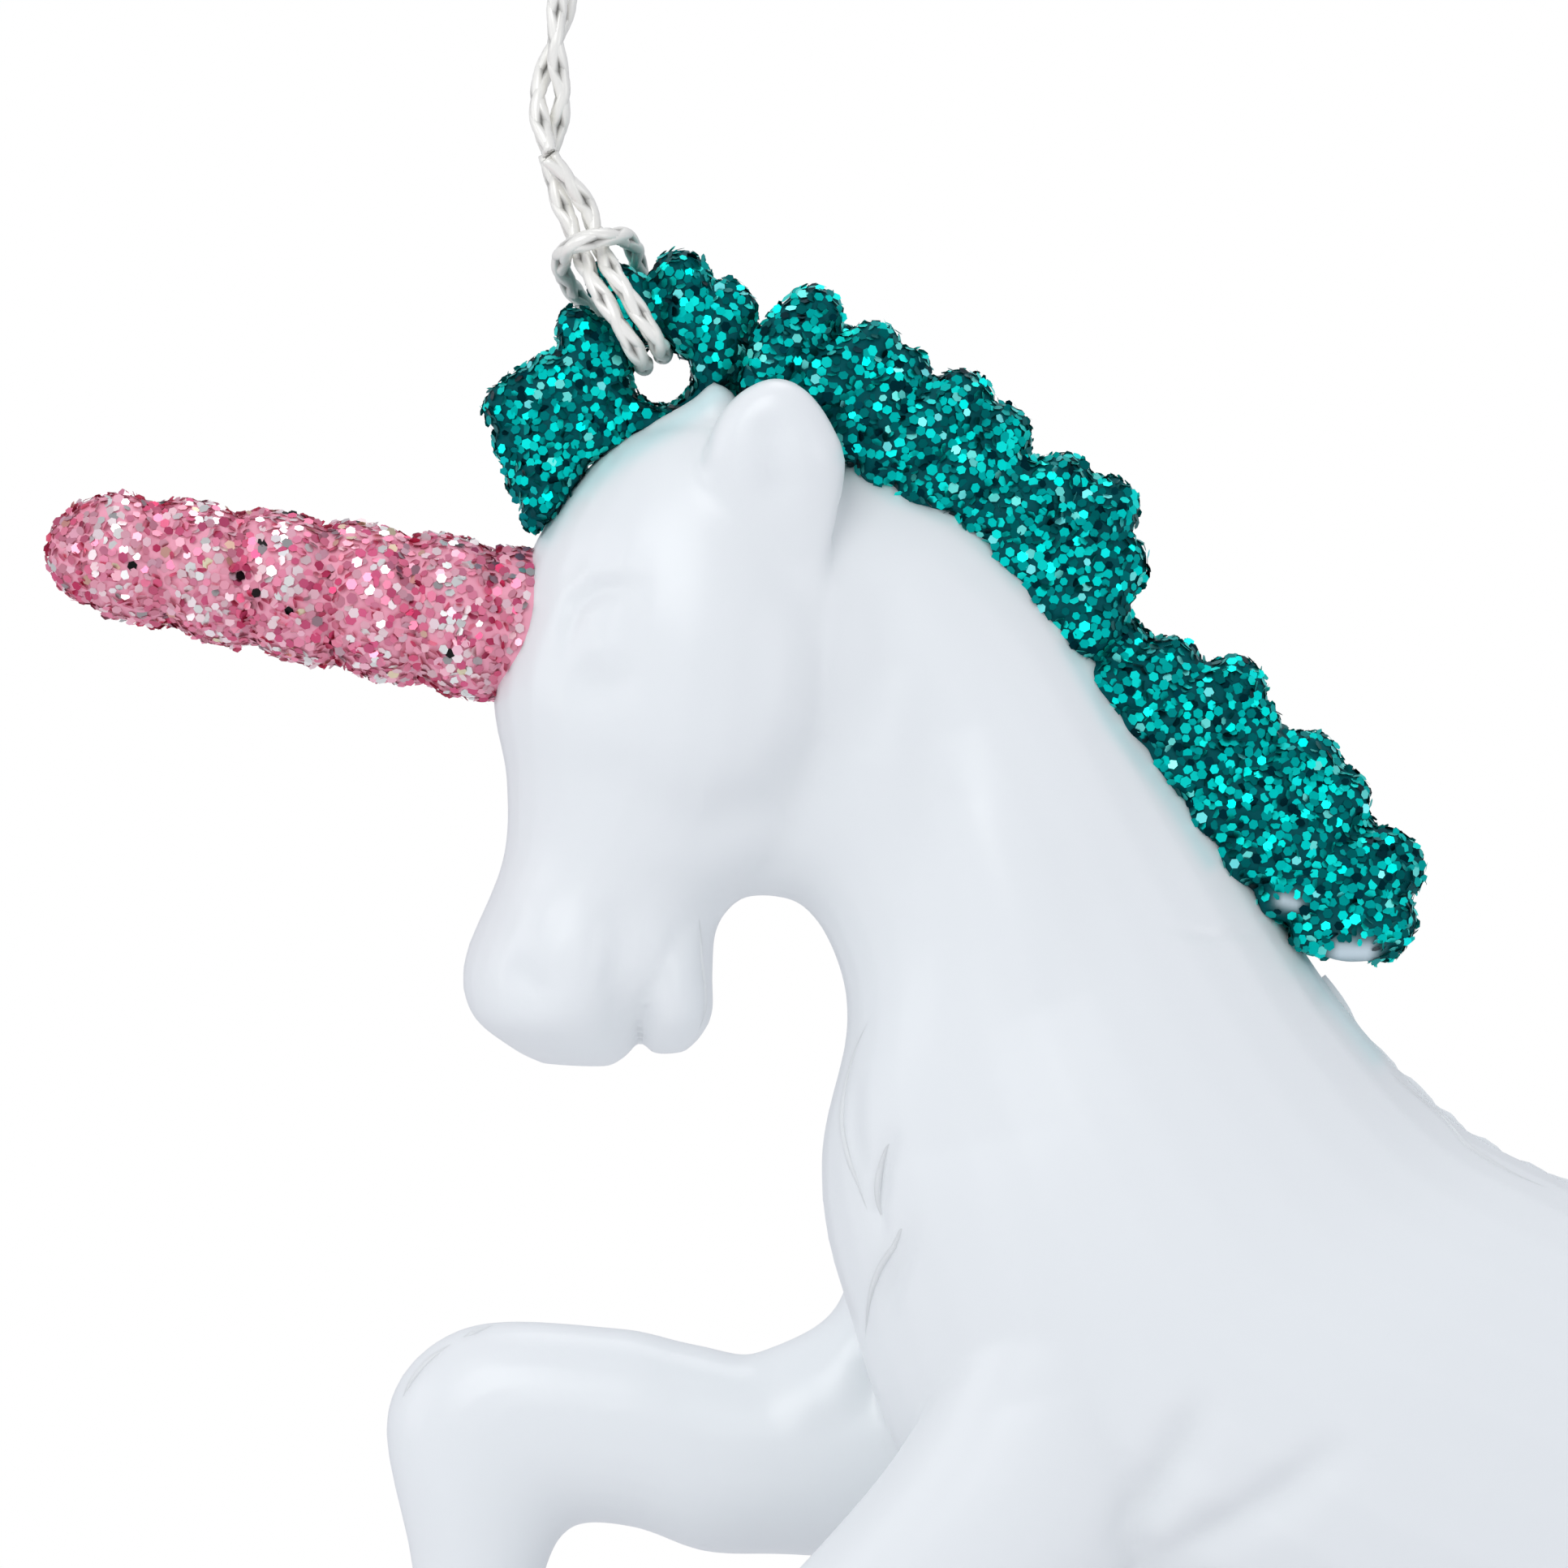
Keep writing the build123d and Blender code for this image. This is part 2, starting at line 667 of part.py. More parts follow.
for side, name in ((-1, "body_near_half"), (1, "body_far_half")):
    half = (body & side_box(side)).fuse(*limbs[side])
    eye_socket = ball(EYE_PIXEL, side * EYE_SOCKET_OFFSET, EYE_SOCKET_DIAMETER)
    nostril = ball(NOSTRIL_PIXEL, side * NOSTRIL_OFFSET, NOSTRIL_DIAMETER)
    half = half.cut(hollow, horn_seat(), horn_peg(SEAT_GAP), mouth(), eye_socket, nostril, *sockets)
    half = half.fuse(ball(EYE_PIXEL, side * EYE_OFFSET, EYE_DIAMETER))
    pins = locating_pins() if side < 0 else locating_pins(PIN_CLEARANCE)
    half = half.fuse(*pins) if side < 0 else half.cut(*pins)
    write(half, name)

write(horn(), "horn")
mane = hair(MANE_SWELL_PIXELS, MANE_LOCKS_PIXELS, MANE_NECK_PIXELS, MANE_GROOVES_PIXELS, MANE_THICKNESS)
write((mane - grown_body).fuse(*pegs(MANE_PEG_PIXELS)), "mane_crest")
forelock = hair(
    FORELOCK_SWELL_PIXELS,
    FORELOCK_LOCKS_PIXELS,
    FORELOCK_SKULL_PIXELS,
    FORELOCK_GROOVES_PIXELS,
    FORELOCK_THICKNESS,
)
write((forelock - eyelet() - grown_body).fuse(*pegs(FORELOCK_PEG_PIXELS)), "forelock")
tail = hair(TAIL_SWELL_PIXELS, TAIL_LOCKS_PIXELS, TAIL_DOCK_PIXELS, TAIL_GROOVES_PIXELS, TAIL_THICKNESS)
write((tail - grown_body).fuse(*pegs(TAIL_PEG_PIXELS)), "tail")

write(cord("cord_hitch", HITCH_ROUTE, HITCH_DEPTH), "cord_hitch")
neck_left = cord("cord_neck left", NECK_LEFT_ROUTE, CORD_DIAMETER)
neck_right = cord("cord_neck right", NECK_RIGHT_ROUTE, CORD_DIAMETER)
write(Compound([neck_left, neck_right]), "cord_neck")
write(cord("cord_left_strand", LEFT_STRAND_ROUTE, CORD_DIAMETER), "cord_left_strand")
write(cord("cord_right_strand", RIGHT_STRAND_ROUTE, CORD_DIAMETER), "cord_right_strand")
write(knot(), "cord_end_knot")
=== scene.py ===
import math
import random

import bpy
import numpy as np
from mathutils import Matrix, Vector
from mathutils.bvhtree import BVHTree

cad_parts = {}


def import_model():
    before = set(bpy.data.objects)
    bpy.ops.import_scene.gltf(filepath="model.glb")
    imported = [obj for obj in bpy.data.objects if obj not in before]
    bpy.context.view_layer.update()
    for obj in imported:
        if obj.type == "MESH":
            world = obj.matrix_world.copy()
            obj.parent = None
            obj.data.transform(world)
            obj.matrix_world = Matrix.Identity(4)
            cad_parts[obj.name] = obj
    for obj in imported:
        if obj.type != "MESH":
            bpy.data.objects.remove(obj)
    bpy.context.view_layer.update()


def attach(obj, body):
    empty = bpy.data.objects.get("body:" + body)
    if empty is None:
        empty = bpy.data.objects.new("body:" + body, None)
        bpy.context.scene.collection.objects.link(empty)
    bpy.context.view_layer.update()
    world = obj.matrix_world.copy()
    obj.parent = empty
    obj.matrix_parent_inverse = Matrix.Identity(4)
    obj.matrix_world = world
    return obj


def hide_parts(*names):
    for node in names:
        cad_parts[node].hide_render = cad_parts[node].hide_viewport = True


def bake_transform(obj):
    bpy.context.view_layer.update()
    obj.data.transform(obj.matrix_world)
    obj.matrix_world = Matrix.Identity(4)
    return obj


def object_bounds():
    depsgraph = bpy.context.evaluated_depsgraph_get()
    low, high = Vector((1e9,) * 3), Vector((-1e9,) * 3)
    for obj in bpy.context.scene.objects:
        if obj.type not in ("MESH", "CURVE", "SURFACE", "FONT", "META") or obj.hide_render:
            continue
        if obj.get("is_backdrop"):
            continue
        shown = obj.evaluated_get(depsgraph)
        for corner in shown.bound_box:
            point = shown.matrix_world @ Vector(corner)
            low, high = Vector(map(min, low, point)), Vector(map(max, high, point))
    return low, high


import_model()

# The picture is 1932 pixels square, and the head in it is 845 pixels long
MILLIMETRE = 1e-3
PICTURE_PIXELS = 1932
HEAD_PIXELS = 845
HEAD_LENGTH = 31.3e-3
PIXEL = HEAD_LENGTH / HEAD_PIXELS
LOOP_TOP_PIXEL = (740, -1400)
SEED = 20

# Camera: a long lens level with the middle of the picture
CAMERA_LENS = 150
CAMERA_SENSOR = 36
CAMERA_CLIP = (0.01, 10)

# Rings of the body's forms, and how finely they are melted into one skin and smoothed
BODY_POINTS = 28
BODY_STEPS = 6
BODY_VOXEL = 0.00026
BODY_SOFTEN_ROUNDS = 4
SOFTEN_FACTOR = 0.5

# Forms of the body as rows down each one: two outline points and a share of its width
TRUNK_WIDTH = 0.0230
TRUNK_ROWS = [
    ((1050, 545), (915, 1104), 0.46),
    ((1185, 600), (985, 1114), 0.48),
    ((1305, 715), (1030, 1180), 0.50),
    ((1400, 860), (1043, 1272), 0.56),
    ((1520, 1035), (1012, 1428), 0.66),
    ((1648, 1230), (1038, 1592), 0.80),
    ((1782, 1374), (1150, 1850), 0.93),
    ((1904, 1444), (1450, 2040), 1.0),
    ((2080, 1525), (1750, 2180), 0.98),
    ((2280, 1660), (1990, 2260), 0.90),
    ((2450, 1850), (2150, 2330), 0.90),
    ((2560, 2060), (2330, 2420), 0.76),
    ((2600, 2240), (2470, 2410), 0.40),
]
HEAD_WIDTH = 0.0146
HEAD_ROWS = [
    ((835, 512), (960, 505), 0.34),
    ((752, 550), (1030, 560), 0.66),
    ((660, 668), (1080, 720), 0.94),
    ((609, 840), (1085, 900), 1.0),
    ((624, 960), (1020, 1030), 0.84),
    ((619, 1062), (896, 1112), 0.70),
    ((573, 1180), (860, 1196), 0.74),
    ((581, 1248), (800, 1262), 0.66),
    ((631, 1291), (776, 1297), 0.42),
    ((668, 1310), (752, 1314), 0.20),
]
CHIN_ROWS = [
    ((740, 1080), (930, 1092), 0.36),
    ((748, 1130), (886, 1136), 0.48),
    ((758, 1195), (878, 1196), 0.54),
    ((778, 1250), (878, 1246), 0.48),
    ((792, 1284), (864, 1276), 0.32),
    ((806, 1299), (844, 1296), 0.16),
]
EAR_WIDTH = 0.0034
EAR_OFFSET = 0.0054
EAR_ROWS = [
    ((900, 770), (1006, 780), 0.06),
    ((884, 700), (1024, 710), 0.24),
    ((868, 630), (1040, 640), 0.62),
    ((870, 570), (1044, 580), 1.0),
    ((882, 528), (1026, 534), 1.0),
    ((906, 498), (1006, 503), 0.86),
    ((928, 483), (988, 486), 0.62),
    ((948, 475), (970, 476), 0.24),
]
POLL_WIDTH = 0.0032
POLL_OFFSET = 0.0021
POLL_ROWS = [
    ((800, 525), (820, 600), 0.40),
    ((832, 508), (850, 600), 0.80),
    ((858, 492), (880, 600), 1.0),
    ((880, 474), (910, 600), 1.0),
    ((906, 488), (935, 600), 0.80),
]
FAR_EAR_SHIFT = (-72, -2)
FORELEG_WIDTH = 0.0094
FORELEG_OFFSET = 0.0058
NEAR_FORELEG_ROWS = [
    ((1186, 1627), (1490, 1627), 0.80),
    ((1094, 1786), (1391, 1911), 0.96),
    ((940, 1962), (1176, 2117), 0.80),
    ((813, 2107), (1009, 2274), 0.66),
    ((749, 2274), (916, 2372), 0.62),
    ((769, 2568), (882, 2568), 0.42),
    ((754, 2676), (882, 2666), 0.50),
    ((720, 2754), (872, 2764), 0.54),
    ((686, 2852), (891, 2862), 0.72),
]
FAR_FORELEG_ROWS = [
    ((1154, 1664), (1174, 1944), 0.84),
    ((960, 1686), (976, 1934), 0.84),
    ((850, 1669), (868, 1930), 0.80),
    ((752, 1649), (780, 1900), 0.76),
    ((564, 1649), (703, 1898), 0.70),
    ((468, 1752), (668, 1949), 0.66),
    ((499, 1949), (658, 2030), 0.52),
    ((509, 2112), (639, 2122), 0.44),
    ((503, 2244), (634, 2244), 0.50),
    ((465, 2336), (621, 2357), 0.54),
    ((420, 2438), (639, 2469), 0.72),
]
HIND_LEG_WIDTH = 0.0104
HIND_LEG_OFFSET = 0.0062
HIND_LEG_ROWS = [
    ((2120, 1960), (2430, 2000), 0.50),
    ((2060, 2250), (2550, 2290), 1.0),
    ((2130, 2500), (2480, 2470), 0.86),
    ((2260, 2670), (2500, 2590), 0.64),
    ((2370, 2800), (2580, 2730), 0.52),
    ((2395, 2920), (2585, 2900), 0.46),
    ((2375, 3050), (2510, 3060), 0.38),
    ((2335, 3170), (2470, 3200), 0.42),
    ((2275, 3250), (2420, 3310), 0.48),
    ((2200, 3320), (2400, 3420), 0.66),
]
FAR_HIND_LEG_SHIFT = (-150, -30)

# Places where forms flow into each other: picture points, their reach in pixels, the rounds
# of smoothing, and how far each round is taken back to hold the larger forms. The edge sets
# how much of the reach is smoothed in full
SOFT_JOINS = [
    ([(1250, 1640), (1400, 1760), (1100, 1700), (1150, 1850)], 330, 60, 0.46),
    ([(2250, 2150), (2450, 2250), (2100, 2200)], 330, 60, 0.46),
    ([(1040, 700), (1050, 840), (1030, 960), (940, 1060)], 130, 60, 0.2),
    ([(880, 720), (960, 740), (1040, 700), (1052, 640), (870, 660)], 90, 80, 0.1),
    ([(1010, 1650), (960, 1670)], 90, 40, 0.3),
]
RELAX_EDGE = 1.6

# Relief on the body: picture points along a stroke, its reach in pixels, its height in mm.
# The gain sets how soon it fades where the surface turns away from the side
FACING_GAIN = 1.6
FACE_STROKES = [
    ([(737, 750), (742, 835)], 50, -0.54),
    ([(739, 764), (742, 800)], 30, 0.42),
    ([(650, 1196), (664, 1208)], 22, -0.30),
    ([(905, 800), (900, 880)], 110, 0.40),
    ([(628, 1090), (655, 1120)], 26, 0.12),
    ([(760, 960), (790, 1080)], 50, -0.20),
]
JAW_CREASES = [
    ([(686, 830), (690, 775), (704, 734), (732, 712), (768, 706), (800, 716)], 13, 0.16),
    ([(700, 840), (704, 785), (716, 752), (740, 732), (768, 730), (790, 744)], 11, -0.14),
    ([(770, 985), (870, 1022), (960, 994), (1030, 915), (1058, 800)], 42, -0.54),
    ([(762, 1100), (764, 1160), (768, 1220), (778, 1330)], 26, -0.55),
]
NECK_CREASES = [
    ([(1074, 720), (1084, 820), (1070, 940)], 30, -0.30),
    ([(1085, 700), (1130, 850), (1150, 980), (1110, 1110)], 40, -0.34),
    ([(1200, 720), (1300, 900), (1380, 1080)], 60, 0.25),
    ([(1180, 900), (1230, 1080), (1290, 1230)], 55, 0.30),
    ([(1420, 1140), (1490, 1152), (1560, 1138)], 8, -0.14),
]
CHEST_CREASES = [
    ([(1100, 1380), (1084, 1433), (1078, 1480), (1088, 1530)], 11, -0.45),
    ([(1050, 1300), (1046, 1380), (1062, 1450)], 14, -0.28),
    ([(1125, 1480), (1110, 1540), (1092, 1590), (1080, 1680)], 13, -0.34),
    ([(1180, 1400), (1220, 1560), (1260, 1700)], 80, 0.35),
    ([(1476, 1680), (1440, 1750), (1400, 1822), (1356, 1900)], 26, -0.62),
    ([(1650, 1738), (1596, 1776), (1540, 1822), (1456, 1872), (1380, 1904)], 26, -0.60),
    ([(1480, 1790), (1420, 1850), (1390, 1900)], 30, 0.25),
]
EAR_HOLLOW = ([(950, 548), (956, 600)], 26, -0.34)

# Where the chest flows into the raised leg
FILLET_ROWS = [
    ((1056, 1550), (1130, 1930), 0.60),
    ((1038, 1610), (1060, 1930), 0.76),
    ((1012, 1642), (1020, 1932), 0.80),
    ((972, 1664), (982, 1932), 0.82),
    ((920, 1684), (930, 1928), 0.72),
]

# Grooves round the tops of the hooves
HOOF_GROOVES = [
    ([(712, 2768), (878, 2776)], 10, -0.28),
    ([(454, 2354), (628, 2376)], 10, -0.28),
    ([(2262, 3256), (2422, 3320)], 10, -0.28),
    ([(2112, 3226), (2272, 3290)], 10, -0.28),
]

# Thin flash left by the mould: picture points of its outer edge, then its sizes
BACK_FLASH = [
    (1632, 1202),
    (1688, 1280),
    (1724, 1316),
    (1764, 1354),
    (1796, 1382),
    (1836, 1409),
    (1884, 1435),
    (1932, 1453),
    (1990, 1482),
    (2050, 1520),
]
FLASH_STEPS = 6
FLASH_WIDTH_PIXELS = 40
FLASH_WAVE_PIXELS = 2
FLASH_WAVE_TURN = 0.9
FLASH_RAGGED_PIXELS = (-0.5, 1.5)
FLASH_THICKNESS = 0.00020

# Raised lines where the mouldings meet, as picture points
SEAM_RADIUS = 0.00022
SEAM_END_SHARE = 0.25
SEAM_SINK = 0.00010
SEAM_STEPS = 8
SEAM_POINTS = 6
SEAM_RAY_START = -0.05
SEAMS = [
    [
        (1084, 1226),
        (1057, 1280),
        (1042, 1330),
        (1036, 1376),
        (1043, 1418),
        (1057, 1456),
        (1086, 1530),
    ],
    [(1112, 1488), (1101, 1520), (1080, 1558), (1069, 1600), (1064, 1672)],
    [(1097, 1386), (1083, 1433), (1080, 1467), (1087, 1500)],
    [(861, 1112), (866, 1180), (870, 1236), (858, 1280)],
    [(560, 1660), (600, 1645), (660, 1637), (740, 1645), (850, 1666), (930, 1680)],
    [(486, 1740), (500, 1712), (524, 1684), (560, 1660)],
    [
        (1690, 1296),
        (1715, 1326),
        (1746, 1352),
        (1773, 1374),
        (1800, 1406),
        (1836, 1430),
        (1876, 1450),
        (1940, 1474),
    ],
]

# Thin paint that ran past the hair onto the body, and bare spots at the mane's end: picture
# points along a stroke, its reach in pixels, its strength
PAINT_SMEARS = [
    ([(672, 660), (700, 616), (766, 566), (836, 524), (884, 488)], 15, 0.42),
    ([(1040, 570), (1100, 616), (1190, 648), (1250, 716)], 10, 0.3),
    ([(1312, 800), (1362, 890), (1434, 980), (1484, 1060)], 11, 0.35),
    ([(1604, 1180), (1644, 1236), (1690, 1294)], 16, 0.35),
]
BARE_SPOTS = [
    ([(1645, 1172), (1676, 1172)], 14, 1.0),
    ([(1574, 1108), (1588, 1112)], 9, 0.7),
]
BARE_LIMIT = 0.4

# Hair: rows of the swell under the locks, then the locks as picture points with a radius
# in pixels, from the outer end to the root
HAIR_POINTS = 20
HAIR_STEPS = 4
HAIR_VOXEL = 0.0002
HAIR_SOFTEN_ROUNDS = 2
MANE_THICKNESS = 0.0072
MANE_ROWS = [
    ((950, 400), (925, 500), 0.62),
    ((1014, 386), (1010, 560), 0.72),
    ((1124, 454), (1090, 598), 0.80),
    ((1240, 536), (1180, 632), 0.84),
    ((1358, 640), (1250, 710), 0.84),
    ((1382, 738), (1300, 770), 0.78),
    ((1428, 792), (1350, 850), 0.80),
    ((1548, 868), (1400, 926), 0.84),
    ((1650, 962), (1470, 1030), 0.84),
    ((1722, 1062), (1540, 1116), 0.80),
    ((1710, 1140), (1610, 1172), 0.66),
]
MANE_LOCKS = [
    [((1008, 384), 32), ((962, 440), 36), ((938, 486), 26)],
    [((1084, 424), 28), ((1030, 470), 34), ((985, 500), 28)],
    [((1122, 452), 24), ((1080, 510), 34), ((1040, 548), 28)],
    [((1192, 492), 36), ((1130, 540), 38), ((1075, 580), 26)],
    [((1238, 530), 34), ((1180, 590), 38), ((1120, 606), 22)],
    [((1316, 592), 34), ((1255, 640), 40), ((1190, 632), 20)],
    [((1368, 620), 36), ((1300, 690), 42), ((1232, 682), 22)],
    [((1378, 690), 38), ((1320, 745), 38), ((1270, 730), 22)],
    [((1368, 738), 24), ((1340, 780), 30), ((1310, 780), 18)],
    [((1448, 820), 36), ((1400, 850), 38), ((1350, 840), 22)],
    [((1528, 842), 34), ((1450, 890), 42), ((1385, 890), 22)],
    [((1546, 888), 32), ((1480, 950), 40), ((1425, 930), 20)],
    [((1618, 934), 36), ((1540, 990), 42), ((1468, 1010), 24)],
    [((1652, 976), 36), ((1590, 1040), 42), ((1505, 1066), 24)],
    [((1716, 1068), 44), ((1640, 1085), 50), ((1560, 1108), 24)],
    [((1706, 1134), 42), ((1650, 1140), 40), ((1600, 1150), 20)],
]

# Locks: how much they swell, how far out each of their points lies, and their rounded ends
LOCK_SWELL = 1.15
LOCK_SPREAD = (0.55, 1.0, 0.9, 0.8)
LOCK_INSET_SHARE = 0.9
LOCK_STEPS = 5
LOCK_POINTS = 10
LOCK_CAP_LENGTH_SHARE = 0.6
LOCK_CAP_RADIUS_SHARE = 0.5

FORELOCK_THICKNESS = 0.0050
FORELOCK_ROWS = [
    ((612, 520), (630, 610), 0.5),
    ((650, 470), (672, 622), 0.9),
    ((700, 425), (716, 575), 1.0),
    ((740, 420), (760, 545), 0.9),
]
FORELOCK_BACK_ROWS = [
    ((866, 400), (880, 470), 0.9),
    ((900, 370), (900, 480), 0.9),
    ((932, 385), (925, 500), 0.66),
]
FORELOCK_LOCKS = [
    [((617, 508), 25), ((674, 480), 34), ((716, 464), 32), ((748, 470), 24)],
    [((630, 548), 25), ((680, 540), 36), ((745, 526), 30), ((790, 512), 14)],
    [((644, 598), 20), ((674, 590), 30), ((705, 575), 20)],
    [((657, 646), 12), ((668, 622), 20), ((690, 600), 16)],
    [((706, 400), 22), ((730, 430), 28), ((756, 456), 22)],
    [((836, 336), 32), ((846, 380), 34), ((852, 420), 24)],
    [((896, 372), 32), ((888, 420), 32), ((876, 462), 22)],
    [((742, 342), 20), ((768, 362), 26), ((790, 384), 26)],
]
EYELET_PIXEL = (816, 462)
EYELET_RIM_RADIUS_PIXELS = 64
EYELET_RIM_HALF_PIXELS = 25
EYELET_RIM_DEPTH = 0.0021
EYELET_RIM_STEPS = 36
EYELET_RIM_POINTS = 14
TAIL_THICKNESS = 0.0064
TAIL_ROWS = [
    ((2560, 2070), (2570, 2180), 0.6),
    ((2680, 2020), (2650, 2150), 0.86),
    ((2800, 2090), (2720, 2200), 0.94),
    ((2860, 2250), (2770, 2290), 0.96),
    ((2870, 2420), (2750, 2430), 0.96),
    ((2870, 2600), (2730, 2600), 0.92),
    ((2840, 2760), (2740, 2750), 0.8),
    ((2800, 2870), (2740, 2860), 0.62),
]
TAIL_LOCKS = [
    [((2640, 2030), 42), ((2590, 2080), 46), ((2540, 2130), 36)],
    [((2740, 2070), 40), ((2680, 2110), 50), ((2620, 2140), 44)],
    [((2825, 2130), 40), ((2760, 2150), 50), ((2700, 2160), 40)],
    [((2862, 2240), 44), ((2810, 2230), 52), ((2770, 2210), 40)],
    [((2885, 2400), 44), ((2820, 2350), 54), ((2780, 2290), 40)],
    [((2880, 2560), 42), ((2810, 2500), 56), ((2770, 2420), 40)],
    [((2870, 2680), 40), ((2800, 2640), 52), ((2750, 2560), 40)],
    [((2800, 2900), 30), ((2800, 2790), 50), ((2770, 2690), 44)],
    [((2740, 2830), 28), ((2750, 2740), 40), ((2740, 2660), 36)],
]

# Horn: its droop is in degrees, and its nose is the rounded share of its length
HORN_BASE_PIXEL = (628, 771)
HORN_DROOP = 10.25
HORN_LENGTH = 0.02135
HORN_BASE_RADIUS = 0.0036
HORN_TIP_RADIUS = 0.00258
HORN_PITCH = 0.0039
HORN_GROOVE = 0.00034
HORN_SEAT = 0.0015
HORN_STEPS = 150
HORN_POINTS = 40
HORN_TAPER_POWER = 1.6
HORN_NOSE_SHARE = 0.16
HORN_NOSE_POWER = 2.4
HORN_NOSE_LEAST = 0.0004
# Painted shade in the horn's groove: the shares of red, green and blue taken from a flake at the
# groove's bottom
HORN_GROOVE_PAINTED_SHADE = (0.22, 0.62, 0.50)

# Cord: picture points with their share of a depth, repeated from the part's own route
CORD_DIAMETER = 0.00095
LEFT_STRAND_LENGTH = 0.0802
RIGHT_STRAND_LENGTH = 0.0415
CORD_RUN_ON = 0.00042
CURVE_RESOLUTION = 12
LEAST_SPAN = 1e-12
HITCH_DEPTH = 0.0030
HITCH_ROUTE = [
    ((708, 296), -0.05),
    ((728, 344), -0.76),
    ((754, 388), -1.0),
    ((793, 450), -1.0),
    ((793, 450), 1.0),
    ((752, 402), 1.0),
    ((712, 363), 0.96),
    ((695, 342), 0.28),
    ((690, 323), -0.38),
    ((704, 308), -0.98),
    ((747, 298), -0.98),
    ((771, 293), -0.38),
    ((781, 303), 0.24),
    ((787, 332), 0.90),
    ((800, 378), 1.0),
    ((817, 436), 1.0),
    ((817, 436), -1.0),
    ((784, 382), -1.0),
    ((750, 333), -0.88),
    ((733, 288), -0.06),
]
NECK_LEFT_ROUTE = [((701, 272), -0.10), ((684, 240), 0.37), ((677, 201), 0.65)]
NECK_RIGHT_ROUTE = [((726, 258), -0.14), ((710, 234), -0.44), ((684, 203), -0.65)]
LEFT_STRAND_ROUTE = [
    ((679, 181), 0.64),
    ((698, 128), 0.0),
    ((684, 70), -0.66),
    ((688, -20), -0.62),
    ((700, -150), -0.10),
    ((676, -350), 0.0),
    ((630, -600), 0.0),
    ((588, -860), 0.0),
    ((583, -1060), 0.0),
    ((610, -1225), 0.0),
    ((646, -1345), 0.0),
    ((700, -1413), 0.0),
    ((784, -1413), 0.0),
    ((845, -1350), 0.0),
    ((886, -1235), 0.0),
    ((900, -1110), 0.0),
    ((896, -990), 0.0),
]
RIGHT_STRAND_ROUTE = [
    ((675, 181), -0.64),
    ((656, 128), 0.0),
    ((676, 70), 0.66),
    ((707, -20), 0.62),
    ((742, -150), 0.10),
    ((792, -350), 0.0),
    ((842, -600), 0.0),
    ((880, -800), 0.0),
    ((890, -905), 0.0),
]
KNOT_PIXELS = ((893, -987), (891, -909))
KNOT_DIAMETER = 0.0023
KNOT_TAIL = 0.0034
KNOT_TAIL_DIRECTIONS = ((0.80, -0.35, 0.50), (0.75, 0.35, -0.55))
KNOT_TAIL_SHARES = (0.42, 0.42, 0.42, 0.42, 0.42, 0.5, 0.3)
KNOT_TAIL_POINTS = 8
KNOT_CORD_SHARE = 0.45
KNOT_INSET_SHARE = 0.42
KNOT_HEIGHT_SHARE = 0.26
KNOT_STEPS = 60
KNOT_POINTS = 10

# Plies of the braided cord: sizes as shares of its diameter, and the painted shade of its grooves
BRAID_SPACING = 0.00022
PLY_PITCH = 0.0052
PLY_SHIFT = 0.6
PLY_OFFSET_SHARE = 0.22
PLY_WEAVE_SHARE = 0.035
PLY_WIDTH_SHARE = 0.31
PLY_HEIGHT_SHARE = 0.25
PLY_POINTS = 10
GROOVE_SHADE = 0.8
GROOVE_BIAS = 0.30
GROOVE_GAIN = 0.9
GROOVE_FADE_ROWS = 4

# Glitter: hexagonal flakes, and their colours with each one's share
FLAKE_SIDES = 6
FLAKE_RADIUS = 0.00024
FLAKE_SIZES = [1.0, 1.0, 1.0, 1.14, 0.8]
FLAKE_SPACING = 0.00029
FLAKE_COVERAGE = 1.6
TRIES_PER_FLAKE = 3
FLAKE_TILT = 0.32
FLAKE_LIFT = (0.00003, 0.00012)
FLAKE_SHADES = (0.8, 1.15)
FLAKE_CLEARANCE = 0.00005
# Beside the glitter's own tones, the darkest teals are painted shade and the palest are painted
# glints, for flakes turned away from and towards the light
TEALS = [
    ((0.000, 0.66, 0.60), 5),
    ((0.000, 0.46, 0.43), 4),
    ((0.000, 0.15, 0.15), 4),
    ((0.005, 0.92, 0.82), 4),
    ((0.000, 0.03, 0.04), 2),
    ((0.20, 1.00, 0.92), 1.4),
]
PINKS = [
    ((0.90, 0.30, 0.44), 5),
    ((1.00, 0.52, 0.62), 5),
    ((0.72, 0.13, 0.26), 3),
    ((1.00, 0.80, 0.82), 4),
    ((0.92, 0.92, 0.90), 3),
    ((0.45, 0.44, 0.44), 0.6),
    ((0.92, 0.84, 0.58), 0.6),
    ((0.02, 0.02, 0.02), 0.25),
]

# Colours and finishes
MILKY = (0.828, 0.861, 0.874)
MILKY_ROUGHNESS = 0.30
SMEAR = (0.42, 0.80, 0.82)
BARE = (0.72, 0.84, 0.90)
TEAL_VARNISH = (0.0, 0.085, 0.095)
TEAL_ROUGHNESS = 0.5
PINK_VARNISH = (0.88, 0.36, 0.48)
PINK_ROUGHNESS = 0.45
FLAKE_GREY = (0.5, 0.5, 0.5)
FLAKE_ROUGHNESS = 0.34
FLAKE_METALLIC = 0.92
IVORY = (0.92, 0.91, 0.86)
# Painted shade between the cord's plies
PLY_GROOVE_PAINTED_SHADE = (0.16, 0.16, 0.15)
CORD_ROUGHNESS = 0.36
CORD_METALLIC = 0.2

